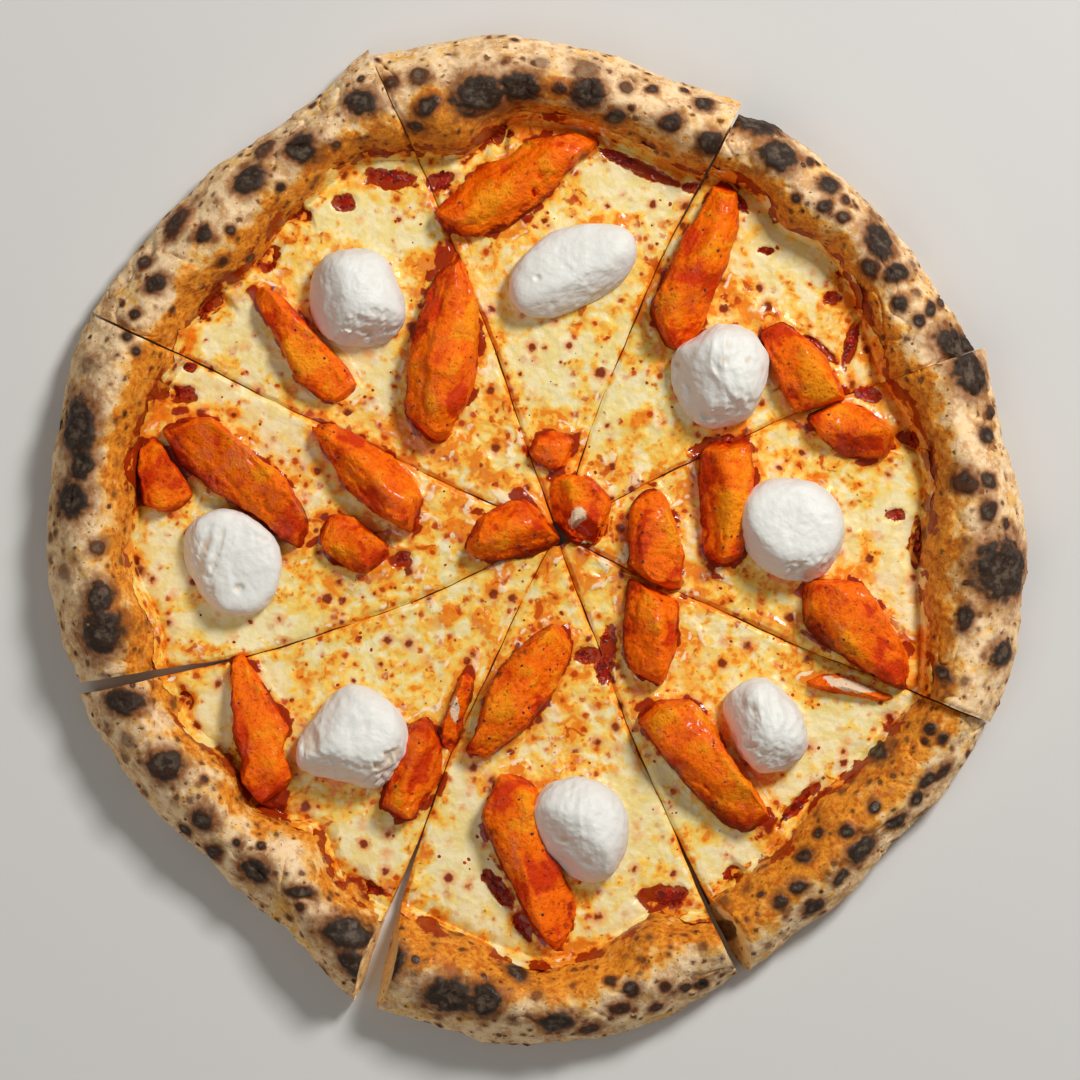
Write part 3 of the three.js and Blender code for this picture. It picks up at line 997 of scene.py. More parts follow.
@dataclass(frozen=True)
class SliceShape:
    """Outline of a slice, and what the fire did to its rim.

    reach is the distance from the hub to the outer edge and rim the width of the puffed rim, both
    at equal steps from the first cut to the second one. lean is how far the rim's cut faces lean
    back at its top. oily is the share of the rim that the orange oil covers, and leopard how
    densely it is speckled. steep is the power of the rim's inner slope: the lower, the steeper.
    swells are local humps of the rim, in mm of height. cavities are burnt holes in its cut faces.
    """

    number: int
    first: Stroke
    second: Stroke
    height: float
    reach: Row
    rim: Row
    lean: tuple[float, float]
    oily: float
    leopard: float
    steep: float
    blisters: tuple[Patch, ...]
    swells: tuple[Patch, ...] = ()
    oil: tuple[Patch, ...] = ()
    cavities: tuple[Patch, ...] = ()

    def sweep(self) -> float:
        """Angle between the two cuts, in degrees."""
        return (self.second.value.bearing - self.first.value.bearing) % 360

    def place(self, share: Array, radius: Array, height: Array) -> Array:
        """Points of the slice.

        Each point lies on the ray of its share. Towards the cuts it follows their bow (a sine over
        the reach), keeps clear of half their width, and leans back with the height.

        Args:
            share: 0 at the first cut to 1 at the second one.
            radius: distance from the hub.
            height: height above the table.

        Returns:
            The points, x, y and z on the last axis.
        """
        share, radius, height = np.broadcast_arrays(share, radius, height)
        depth = radius / along(self.reach, share)
        bearing = np.radians(self.first.value.bearing + self.sweep() * share)
        opened = smooth(depth, OPENING_START, 1)
        leaning = opened * height / self.height
        x = HUB[0] + radius * np.cos(bearing)
        y = HUB[1] + radius * np.sin(bearing)
        sides = ((self.first.value, 1 - share, 1, self.lean[0]), (self.second.value, share, -1, self.lean[1]))
        for cut, weight, inward, lean in sides:
            back = mix(NARROW_CUT * cut.squeeze(radius), cut.opening, opened) / 2 + lean * leaning
            shift = weight * (cut.bow * np.sin(np.pi * depth) + cut.drift(radius) + inward * back)
            x = x - np.sin(np.radians(cut.bearing)) * shift
            y = y + np.cos(np.radians(cut.bearing)) * shift
        return np.stack([x, y, height], axis=-1)

    def edge(self, share: Array, radius: Array) -> Array:
        """Distance along the arc to the nearer cut."""
        return np.minimum(share, 1 - share) * np.radians(self.sweep()) * radius

    def foot(self, share: Array) -> Array:
        """Distance from the hub to where the rim starts to rise."""
        return along(self.reach, share) - along(self.rim, share)

    def rim_top(self, share: Array, on_rim: Array) -> Array:
        """Height of the rim's upper side.

        A sine over the rim's width, raised to a power that makes the inner slope gentler than the
        outer one, stands on a floor that climbs from the base to the widest height.

        Args:
            share: where between the two cuts.
            on_rim: place across the rim, 0 at its foot and 1 at its outer edge.

        Returns:
            The heights, with a sine's gentle swell along the rim.
        """
        power = mix(self.steep, 0.72, smooth(on_rim, 0.1, 0.7))
        dome = np.sin(np.pi * np.clip(on_rim, 0, 1)) ** power
        floor = mix(BASE_THICKNESS, EQUATOR_HEIGHT, on_rim)
        swell = 1 + 0.04 * np.sin(3 * np.pi * share + self.number)
        return floor + np.clip(dome, 0, 1) * (self.height * swell - floor)


SLICES = (
    SliceShape(
        1, Stroke.UPPER_RIGHT, Stroke.UPPER_LEFT, 25, (156, 156.5, 159, 163, 167, 168, 171),
        (29, 29, 28, 28, 30, 39, 38), (0, 0), 0.3, 0.35, 0.8,
        patches(
            (-20, 147.5, 8.3, 6.7), (-6.5, 150, 6.7, 5.3, 10), (15.5, 148.5, 5.3, 6, 0, 0.85),
            (15.5, 155.5, 5, 4, 0, 0.35), (6.5, 149.5, 2.3, 2.3, 0, 0.6), (-49, 151.5, 2.7, 2.7, 0, 0.55),
            (-40, 153.5, 3.7, 3.3, 0, 0.5), (-37.5, 144, 4.7, 2.7, 30, 0.85),
            (-41.5, 137.5, 2.7, 2, 0, 0.6), (25, 140.5, 4, 2.7, 20, 0.8), (43.5, 138.5, 4, 3, 10, 0.8),
            (54.5, 145, 3.3, 3, 0, 0.8), (28.5, 150, 2.3, 2, 0, 0.45), (0.5, 158, 2.7, 2, 0, 0.3),
            (37.5, 149.5, 1.7, 1.7, 0, 0.6), (48, 149.5, 1.7, 1.7, 0, 0.6), (56.5, 131.5, 4.3, 4.3, 0, 0.9),
            (36.5, 130.5, 1.7, 1.3, 0, 0.6)),
        patches((-31, 136, 12, 10, -30, 3)),
        patches((-31, 137, 13, 10, -30), (5, 149.5, 9, 4, 0, 0.8))),
    SliceShape(
        2, Stroke.RIGHT, Stroke.UPPER_RIGHT, 23, (152, 151, 150, 151, 152, 153.5, 151),
        (33, 29, 24, 22, 26, 23, 21), (0, 0), 0.4, 0.55, 0.58,
        patches(
            (70, 138.5, 10, 4.7, -25, 0.95), (79, 127.5, 6.7, 5, -20, 0.95),
            (89.5, 125.5, 1.7, 1.7, 0, 0.7), (95.5, 117.5, 3.7, 3.3, 0, 0.9),
            (94.5, 110.5, 2.7, 2.3, 0, 0.8), (101, 112.5, 1.7, 1.7, 0, 0.7), (100.5, 107, 2.3, 2, 0, 0.6),
            (112.5, 99, 6.3, 4.7, -65), (109.5, 90, 3.3, 3.3, 0, 0.6), (118.5, 88.5, 5, 3, 10, 0.95),
            (119.5, 78.5, 2.7, 2.7, 0, 0.9), (129.5, 76.5, 3, 2, 80, 0.9), (125.5, 72.5, 2.3, 2.3, 0, 0.9),
            (133.5, 79, 2.3, 1.3, 80, 0.8), (85, 113.5, 1.7, 1.7, 0, 0.7), (138.5, 64, 9.3, 5.3, -25))),
    SliceShape(
        3, Stroke.LOWER_RIGHT, Stroke.RIGHT, 26, (157, 157.5, 157.5, 157, 154, 153, 155.5),
        (26, 31, 35, 35, 30, 30, 35), (0, 0), 0.4, 0.3, 0.58,
        patches(
            (142.5, 55.5, 8, 6, -60, 0.95), (148.5, 35, 3.3, 3, 0, 0.9), (150, 42.5, 2.3, 2.3, 0, 0.6),
            (140.5, 19.5, 4.7, 4.3, 0, 0.6), (148.5, 19.5, 3, 2.7, 0, 0.8), (148.5, 9.5, 4, 3, 80, 0.75),
            (155, 5.5, 2, 2, 0, 0.7), (153, -10, 10.3, 10), (141, -25.5, 4.7, 2.7, 80, 0.8),
            (152.5, -37.5, 4.3, 4.3, 0, 0.95), (133.5, -44, 4.7, 2, -40, 0.8),
            (125, 23.5, 2, 1.7, 0, 0.4))),
    SliceShape(
        4, Stroke.BOTTOM, Stroke.LOWER_RIGHT, 22, (158.5, 154, 153.5, 152, 153, 154.5, 156.5),
        (28, 26, 27, 29, 28, 28, 25), (7, 0), 0.7, 1.0, 0.85,
        patches(
            (129.5, -62.5, 2.3, 2, 0, 0.8), (133.5, -66, 2, 2, 0, 0.8), (112.5, -69.5, 5.7, 3.7, -40, 0.8),
            (128.5, -79.5, 3.3, 2, 55, 0.9), (125, -85.5, 2.7, 2, 50, 0.9), (111, -88.5, 2, 2, 0, 0.85),
            (106.5, -102.5, 6.3, 3.3, 40, 0.95), (99.5, -111.5, 3.3, 2, 50, 0.85),
            (101.5, -96.5, 2.7, 2.3, 0, 0.9), (92.5, -97.5, 2, 2, 0, 0.7), (87.5, -105, 2.7, 2.7, 0, 0.9),
            (85.5, -115, 3.3, 2.3, 0, 0.9), (79.5, -120, 2.7, 2.7, 0, 0.85), (90.5, -121.5, 4, 2, 40, 0.85),
            (118.5, -93.5, 4, 2, 40, 0.8), (133.5, -76.5, 3.3, 1.7, 50, 0.7)),
        cavities=patches((53.5, -116, 7, 5, -66), (60, -131, 5, 4, -66, 0.8))),
    SliceShape(
        5, Stroke.LOW_BOTTOM, Stroke.BOTTOM, 25, (169, 168, 169.5, 168.5, 166, 163, 158.5),
        (36, 33, 31, 28, 30, 33, 23), (4, 0), 0.5, 0.7, 1.0,
        patches(
            (-49.5, -139.5, 6.3, 4.3, 75, 0.9), (-30, -150.5, 8.3, 5.7), (-18.5, -152.5, 6, 5.7),
            (-7.5, -143.5, 4, 3, -60, 0.75), (5.5, -159.5, 6, 3.7, 0, 0.95), (30.5, -148.5, 3, 2.7, 0, 0.8),
            (23.5, -146, 2.3, 1.7, 0, 0.6), (26.5, -155, 4, 2, 15, 0.6), (16.5, -162, 4, 2, 10, 0.6),
            (41.5, -147.5, 2, 2, 0, 0.6), (48.5, -148.5, 2, 2, 0, 0.6), (54, -147.5, 2.7, 2.3, 0, 0.75),
            (38.5, -154.5, 2.7, 1.7, 20, 0.6)),
        patches((33, -133, 13, 7, 15, 2.5), (-20, -132, 10, 6, 0, 1.5))),
    SliceShape(
        6, Stroke.LOWER_LEFT, Stroke.LOW_BOTTOM, 24, (168.5, 164.5, 161, 158, 158, 161, 169.5),
        (32, 29, 33, 27, 35, 28, 33), (0, 3), 0.3, 0.6, 1.0,
        patches(
            (-137.5, -53.5, 6.7, 4.3, -10, 0.9), (-124, -74.5, 6.3, 5.3, -20, 0.8),
            (-136.5, -66, 2.7, 2.7, 0, 0.3), (-111.5, -92.5, 4, 3.7, 0, 0.8), (-118, -96, 2.7, 2, 0, 0.8),
            (-108.5, -104, 4, 2.7, 70, 0.7), (-94.5, -109.5, 5, 4.3, -20, 0.85),
            (-92.5, -101, 1.3, 1.3, 0, 0.7), (-100.5, -100, 1.3, 1.3, 0, 0.7),
            (-79.5, -116.5, 5.3, 2, 0, 0.7), (-79.5, -121.5, 2, 1.7, 0, 0.6), (-64, -130, 8.7, 5.3, -10),
            (-61.5, -140.5, 6.7, 3.7, -45, 0.85))),
    SliceShape(
        7, Stroke.LEFT, Stroke.LOWER_LEFT, 26, (171.5, 171, 169.5, 169.5, 169, 169, 167),
        (35, 32, 28, 30, 28, 33, 30), (0, 0), 0.42, 0.4, 0.75,
        patches(
            (-152.5, 37.5, 10, 5.7, 85), (-151.5, 25, 5.3, 4.3, 60, 0.9), (-155, 13.5, 6.3, 6),
            (-146.5, -2.5, 2.7, 2.7, 0, 0.5), (-145.5, -19, 5.7, 4.7, 80, 0.85),
            (-144.5, -30.5, 7.7, 7, 60, 0.9), (-149.5, 58.5, 3.3, 3, 0, 0.3),
            (-136.5, 67.5, 1.7, 1.7, 0, 0.8), (-133.5, 62.5, 1.7, 1.7, 0, 0.8),
            (-157.5, -10.5, 3.3, 3, 0, 0.3))),
    SliceShape(
        8, Stroke.UPPER_LEFT, Stroke.LEFT, 24, (173, 166, 165, 166, 167, 168.5, 171.5),
        (40, 26, 27, 29, 33, 29, 34), (0, 0), 0.42, 0.65, 0.85,
        patches(
            (-79, 130, 5.7, 5, -10, 0.85), (-96, 119.5, 5.7, 4, 30, 0.95),
            (-91.5, 129.5, 4.7, 2.7, 60, 0.5), (-59.5, 145, 5.7, 4.3, 0, 0.9), (-86, 117, 1.7, 1.7, 0, 0.8),
            (-111.5, 101.5, 3, 2.7, 0, 0.8), (-102.5, 102.5, 1.7, 1.7, 0, 0.6),
            (-96.5, 94, 1.7, 1.7, 0, 0.5), (-105, 92.5, 1.7, 1.7, 0, 0.6), (-127.5, 85, 4, 3, 20, 0.8),
            (-131, 92.5, 3, 2.3, 0, 0.6), (-120, 105, 6, 2.7, 55, 0.6), (-134, 75, 2, 1.7, 0, 0.7),
            (-67.5, 131, 1.7, 1.7, 0, 0.5))),
)

# Where the sauce shows between the cheese and the rim, or through the cheese.
SAUCE_PATCHES = patches(
    (-50, 120.5, 9.3, 3.3, -5), (-65.5, 112.5, 4, 3), (-78.5, 108.5, 2.7, 2), (-89.5, 94, 5, 2.3, 60),
    (-109.5, 80, 6.7, 2.3, 65), (-120.5, 48.5, 6.7, 3), (-116.5, 57.5, 2.3, 1.7),
    (-33.5, 119.5, 4.7, 3, 20), (-12.5, 136, 4, 2), (33.5, 124, 14, 2.3, -25), (50.5, 117.5, 3.3, 2),
    (64.5, 114, 6, 2.3, -40), (75.5, 96.5, 2.7, 1.3), (97.5, 80.5, 3, 2.3), (103.5, 65, 7.3, 2.3, 75),
    (109.5, 48.5, 4.7, 2.7, -20), (93.5, 63.5, 8, 1.7, -40), (124, 33.5, 3.3, 1.7, -70),
    (125.5, -1.5, 8.7, 1.7, 88), (118.5, 8.5, 3, 2), (57.5, 31.5, 7.3, 3, 10),
    (86.5, -87.5, 10.7, 2, 45), (63.5, -111, 3, 2, 20), (40.5, -119, 8.3, 4, 5),
    (-14.5, -116, 7.3, 2.7, -50), (-5.5, -128.5, 4.7, 3, -60), (-117.5, -53.5, 3.3, 2, -60),
    (-57.5, -115.5, 6.7, 2, -25), (22, -38.5, 10, 3.3, 80), (16.5, -38.5, 4.7, 3),
    (-46.5, -6.5, 4, 2.7), (-65, -6.5, 4, 2),
)

# Where the cheese stayed pale and smooth.
PALE_POOLS = patches(
    (-56.7, 106.7, 23, 9, -15), (-71.7, 58.3, 25, 11, -15), (-95, 68, 14, 12), (-115, 51.7, 12, 5, -20),
    (-90, 40, 20, 6, -40), (-123, -7, 8, 15), (-97, -28, 20, 8, -10), (-55, -100, 15, 12),
    (-108, -57, 8, 10), (-90, -47, 10, 6), (-17, -102, 20, 26, 10), (37, -83, 14, 28, -25),
    (27, -125, 12, 8), (100, -65, 20, 12, 30), (62, -105, 12, 8), (120, -2, 7, 30), (118, -53, 8, 5),
    (82, 97, 15, 13, -45), (25, 45, 8, 16), (45, 112, 10, 9), (25, 118, 10, 8), (2, 60, 12, 12),
)

# Where bubbles in the cheese have browned.
TOASTED_CHEESE = patches(
    (-101, 45, 5, 4), (-80, 95, 3, 3), (-62, 113, 3.5, 3), (38, 55, 4, 3), (15, -14, 5, 3), (60, -20, 7, 4),
    (-30, -25, 4, 4), (-45, -115, 5, 3), (75, 120, 4, 2), (30, 40, 8, 4, 30), (-23, 28, 10, 5, -40),
    (-19, -27, 6, 2.5, -50), (75, -28, 9, 3, -20), (22, 105, 9, 4, 10), (20, 70, 5, 4), (68, 78, 8, 4, -60),
    (-33, 95, 6, 4, 40), (-48, 38, 9, 4, -30), (10, -62, 7, 5, 60), (92, 20, 9, 3, 40),
)


# --- Chicken and cream ---

@dataclass(frozen=True)
class StripShape:
    """A strip of chicken, in mm and degrees.

    at is its middle. right and left are the distances of its sides from the straight axis, at equal
    steps from its start to its end. slant is how far each end runs forward per mm to the left, and
    round how long its rounded ends are. tilt raises the left side. scorch is how dark its
    right and left sides are painted: a little scorch, mostly painted shade on the side away from the
    light. flesh and pits are pale places and holes.
    """

    number: int
    at: tuple[float, float]
    bearing: float
    length: float
    height: float
    right: Row
    left: Row
    tilt: float = 0.0
    scorch: tuple[float, float] = (0.3, 0.0)
    slant: tuple[float, float] = (0.0, 0.0)
    round: tuple[float, float] = (5.0, 5.0)
    flesh: tuple[Patch, ...] = ()
    pits: tuple[Patch, ...] = ()

    def lean(self, share: Array) -> Array:
        """How far the crossline at this share runs forward per mm to the left."""
        return mix(self.slant[0], self.slant[1], share)

    def world(self, forward: Array, aside: Array) -> tuple[Array, Array]:
        """Places on the pizza of points given along and across the axis."""
        return turned(forward, aside, np.radians(self.bearing), self.at)

    def gap(self, points: Array) -> Array:
        """Distance from the strip's side seen from above.

        Args:
            points: places in millimetres.

        Returns:
            The distance, below 0 under the strip.
        """
        x, y = points[..., 0] - self.at[0], points[..., 1] - self.at[1]
        forward, aside = turned(x, y, -np.radians(self.bearing))
        share = np.clip(forward / self.length + 0.5, 0, 1)
        share = (forward - self.lean(share) * aside) / self.length + 0.5
        beyond = (np.abs(share - 0.5) - 0.5) * self.length
        over = np.where(aside > 0, aside - along(self.left, share), -aside - along(self.right, share))
        outside = np.hypot(np.maximum(beyond, 0), np.maximum(over, 0))
        return np.where(outside > 0, outside, np.maximum(beyond, over))


STRIPS = (
    StripShape(1, (-79.6, 65.7), -48, 49, 9, (1, 3, 4.5, 6.5, 9, 9.5, 3.5), (2, 6.5, 6, 5, 6.5, 6.5, 4.5),
               0.1, (0.6, 0)),
    StripShape(2, (-32, 62.9), -96, 67, 14, (4.5, 8, 9.5, 10.5, 11.5, 9.5, 2.5),
               (1, 6.5, 10.5, 13, 12, 6.5, 4), -0.12, (0.35, 0)),
    StripShape(3, (-6.9, 118.9), 29, 60, 12, (6.5, 9, 13, 11, 7, 2.5, 2.5), (5.5, 7.5, 10.5, 9, 11, 8.5, 2),
               0.05, (0.2, 0.35),
               pits=patches((5.5, 115.5, 1.6, 1.6), (0, 121.3, 1.2, 1.2), (-2, 115.5, 1.2, 1.2))),
    StripShape(4, (3.5, 31), 0, 17, 7, (1, 3.5, 5.5, 7.5, 7.5, 6.5, 1), (2, 3.5, 4.5, 5.5, 6.5, 5.5, 3.5),
               0, (0.3, 0.3)),
    StripShape(5, (52.7, 91.7), -108, 59, 14, (2.5, 4, 7, 8.5, 10, 13, 3.5), (3.5, 8.5, 8.5, 9, 9, 9.5, 2.5),
               0.1, (0.55, 0)),
    StripShape(6, (85.2, 59.4), -50, 36.4, 12, (0, 4, 6, 8, 9.5, 11.5, 11.5), (5, 7, 7, 9.5, 8.5, 7, 6),
               0.1, (0.4, 0), (0, 0.45), (5, 0.8)),
    StripShape(7, (102.6, 35.8), -24, 35, 12, (2.5, 5, 6.5, 8, 8, 5.5, 1.5), (0.5, 4, 8.5, 10, 9, 6.5, 3),
               0.15, (0.5, 0), (0, 0), (3, 4)),
    StripShape(8, (61.6, 12.2), -94, 48, 13, (1, 10.5, 10, 8, 7, 5.5, 3.5), (5.5, 8.5, 9.5, 6.5, 6.5, 8, 2),
               0.1, (0.4, 0), flesh=patches((57, 35, 3, 2.5, 0, 0.7), (61, 36, 1.5, 2, 0, 0.8)),
               pits=patches((54, 33, 1.6, 2), (59.5, 33.5, 1.5, 1.5), (62.5, 31.5, 1.3, 1.3))),
    StripShape(9, (106.4, -31.1), -45, 48.5, 14, (5, 11, 12, 10.5, 8.5, 5.5, 3), (2, 10.5, 12, 11, 9, 8.5, 4),
               0.12, (1, 0)),
    StripShape(10, (37.3, 2), -91, 32, 12, (3, 6.5, 8, 8.5, 9, 9.5, 9.5), (1, 6, 8, 9, 10, 10.5, 10),
               0.1, (0.5, 0), (0, 0.36), (5, 0.8)),
    StripShape(11, (12.6, 10), -60, 27, 10, (4, 6.5, 8, 9, 9.5, 9, 5), (3, 8, 10.5, 11.5, 10.5, 7, 3),
               0, (0.3, 0.1), flesh=patches((12.3, 7.5, 2.6, 3.6, -20)),
               pits=patches((15, 3, 3.4, 4.2, 60, 3))),
    StripShape(12, (36.7, -33), -90, 35.5, 12, (9.5, 9.5, 9.5, 9.5, 8.5, 6.5, 3.5),
               (10.5, 11.5, 11, 10.5, 8.5, 5.5, 1), 0.1, (0.5, 0), (0.385, 0), (0.8, 5)),
    StripShape(13, (54.8, -75.3), -43, 58, 14, (3, 6.5, 8.5, 9, 10, 10, 5.5), (5.5, 12, 13, 9, 6.5, 5.5, 2),
               0.1, (0.9, 0)),
    StripShape(14, (103.1, -49.8), -10, 31, 5, (0.5, 2.2, 2.4, 2.2, 2, 2, 1.5), (0.5, 3.5, 4, 3, 2, 1, 0.5),
               0, (0.2, 0), flesh=patches((103, -48.3, 9, 2, -12)), round=(3, 3)),
    StripShape(15, (-7.2, -51.1), 46, 53.5, 14, (4.5, 9, 10, 9, 8, 4.5, 1), (0.5, 1.5, 6.5, 10, 10, 11, 7.5),
               -0.05, (0.2, 0.6)),
    StripShape(16, (-2.7, -107.5), -71, 62.7, 12, (1, 10, 12, 11, 9, 7, 3.5), (8, 12, 5.5, 6.5, 10, 8, 1),
               0.12, (0.7, 0)),
    StripShape(17, (-94.2, -63.3), -76, 53, 12, (5.5, 5, 5.5, 7.5, 7, 8.5, 3.5), (2.5, 6, 9, 11, 6.5, 7.5, 3),
               0.1, (0.6, 0)),
    StripShape(18, (-42.7, -76.9), -116, 37.5, 13, (4, 8, 8, 7, 7, 8, 6), (2.5, 6.5, 9.5, 11.5, 10.5, 8, 2),
               0.1, (0.6, 0.1)),
    StripShape(19, (-27.5, -57.8), -106, 31, 9, (1, 2.5, 4, 4.5, 3.5, 2, 1), (0.5, 3, 3, 2.5, 3, 3, 1),
               0, (0.3, 1), flesh=patches((-28.5, -56.5, 1.6, 4.5, 0, 0.9))),
    StripShape(20, (-99.5, 19.8), -42, 63, 14, (6, 10, 10, 7.5, 5.5, 5, 5), (4, 8.5, 9.5, 9.5, 10, 8, 2.5),
               0.28, (0.75, 0)),
    StripShape(21, (-126.3, 21.9), -80, 26, 9, (2.5, 6, 7.5, 8.5, 9, 7.5, 2), (0.5, 2, 4, 6.5, 8.5, 9.5, 7),
               0.1, (0.6, 0.1)),
    StripShape(22, (-58.5, 22.5), -44, 52, 13, (2.5, 3.5, 5.5, 7.5, 7, 6, 4), (0, 4.5, 7.5, 10, 11, 9, 1.5),
               0.1, (0.5, 0)),
    StripShape(23, (-62, 0.2), -30, 27, 9, (2.5, 6, 9, 10.5, 10, 8, 4), (2.5, 6, 6.5, 6.5, 6, 5, 2.5),
               0, (0.6, 0.2)),
    StripShape(24, (-10.9, 2.2), 15, 31, 12, (1, 6.5, 8.5, 10, 10.5, 11, 9.5),
               (4.5, 9, 9.5, 9.5, 12, 12.5, 4), -0.1, (0.7, 0.1), (0, -0.2), (5, 2.5)),
)


@dataclass(frozen=True)
class Facet:
    """A side that a spoon has left on a dollop.

    bearing is where it faces and slant how far up it faces, in degrees. depth is how much it takes
    off, as a share of the dollop's width, and torn how ragged it is.
    """

    bearing: float
    slant: float
    depth: float
    torn: float = 0.0


@dataclass(frozen=True)
class DollopShape:
    """A dollop of whipped cream cheese.

    radii are the distances from its middle to its outline, in mm, at every 30 degrees from +X
    counterclockwise. wrinkled is how high its ridges are and how many dents it has.
    """

    number: int
    at: tuple[float, float]
    height: float
    radii: Row
    facets: tuple[Facet, ...]
    wrinkled: float = 0.5
    pits: tuple[Patch, ...] = ()

    def outline(self, angle: Array) -> Array:
        """Distance from the middle to the outline at an angle in radians: a closed smooth curve."""
        ring = (*self.radii[-2:], *self.radii, *self.radii[:3])
        return along(ring, ((angle / (2 * np.pi)) % 1 * 12 + 2) / 16)

    def gap(self, points: Array) -> Array:
        """Distance from the outline seen from above, below 0 under the dollop."""
        x, y = points[..., 0] - self.at[0], points[..., 1] - self.at[1]
        return np.hypot(x, y) - self.outline(np.arctan2(y, x))


DOLLOPS = (
    DollopShape(1, (-61.3, 80.3), 18, (16, 15.5, 17, 17, 17.5, 16.5, 16.5, 17, 16.5, 16.5, 18, 18),
                (Facet(195, 38, 0.2), Facet(280, 35, 0.17, 0.8), Facet(40, 62, 0.07)), 0.4,
                patches((-57, 69, 2.2, 1.4), (-63, 70, 2, 1))),
    DollopShape(2, (10.8, 89.3), 14, (19.5, 23.5, 18.5, 15, 14.5, 16, 20, 22.5, 18, 13.5, 12.5, 14.5),
                (Facet(115, 72, 0.1), Facet(295, 42, 0.14, 0.3)), 0.15, patches((-1, 87, 1, 1))),
    DollopShape(3, (59.3, 54.2), 20, (16.5, 18.5, 18.5, 17.5, 15, 17, 16, 16, 17, 17.5, 17, 16),
                (Facet(200, 45, 0.24), Facet(275, 38, 0.14, 0.6), Facet(30, 60, 0.07)), 1.3,
                patches((55, 41, 2, 1.2, -30))),
    DollopShape(4, (83.8, 3), 19, (17.5, 17.5, 17.5, 17.5, 19, 19.5, 17, 16.5, 16, 16.5, 18.5, 17.5),
                (Facet(60, 80, 0.12), Facet(285, 32, 0.12, 1), Facet(225, 35, 0.07)), 0.3,
                patches((90, -12, 2, 1.5), (97, -9, 1.5, 1.2))),
    DollopShape(5, (74.7, -62.2), 18, (14, 13, 13, 16, 16.5, 16, 12, 11.5, 12.5, 15.5, 16, 15.5),
                (Facet(190, 42, 0.2, 0.2), Facet(275, 45, 0.14, 0.6), Facet(40, 60, 0.06)), 1.2,
                patches((70, -68, 2, 1))),
    DollopShape(6, (12.7, -96.3), 19, (16.5, 17, 17, 18, 18, 17, 16, 14.5, 14.5, 17.5, 19, 17.5),
                (Facet(228, 45, 0.25), Facet(50, 60, 0.06), Facet(110, 55, 0.06)), 0.7),
    DollopShape(7, (-63.5, -65.7), 19, (20, 18.5, 17.5, 17.5, 14.5, 13.5, 16.5, 19.5, 16, 16, 20, 20.5),
                (Facet(255, 38, 0.12, 0.5), Facet(315, 35, 0.1, 1.6), Facet(140, 48, 0.1),
                 Facet(60, 75, 0.08)), 0.6,
                patches((-77, -66, 3, 5, 10, 1.6), (-54, -75, 1.2, 1.2), (-50, -73, 1.2, 2))),
    DollopShape(8, (-102.8, -7.2), 14, (17, 16.5, 16, 18, 18.5, 18.5, 16.5, 15, 15.5, 17.5, 19, 18),
                (Facet(40, 86, 0.16), Facet(195, 40, 0.15, 0.4)), 0.6,
                patches((-112, -5, 1.5, 9, -15, 0.7), (-107, -3, 1.2, 7, -15, 0.7), (-100, -16, 1.5, 1.2))),
)


# --- Pieces ---

def lay(piece: Object, material: Material, slot: str | None, *nodes: str) -> None:
    """Dresses a piece, hangs it under the root body and hides the solids that it replaces.

    Args:
        piece: the finished mesh object.
        material: its finish.
        slot: not used.
        nodes: the solids that the piece replaces.
    """
    piece.data.materials.append(material)
    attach(piece, "root")
    if nodes:
        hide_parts(*nodes)
    log.info("%s: %d triangles", piece.name, len(piece.data.polygons))


def crowded(count: int, share: float) -> Array:
    """Steps from 0 to 1 that lie closer together at both ends."""
    t = np.linspace(0, 1, count)
    return mix(t, (1 - np.cos(np.pi * t)) / 2, share)


def clearance(shapes: tuple[StripShape, ...] | tuple[DollopShape, ...], points: Array) -> Array:
    """Distance from each point to the nearest of the shapes seen from above, below 0 under one."""
    return np.min([shape.gap(points) for shape in shapes], axis=0)


@dataclass
class Piece:
    """A piece with noise of its own."""

    SEED = 0  # tells the kinds of pieces apart

    shape: SliceShape | StripShape | DollopShape

    @cached_property
    def noise(self) -> Noise:
        """Noise seeded by the piece's kind and number."""
        return Noise(self.SEED + self.shape.number)


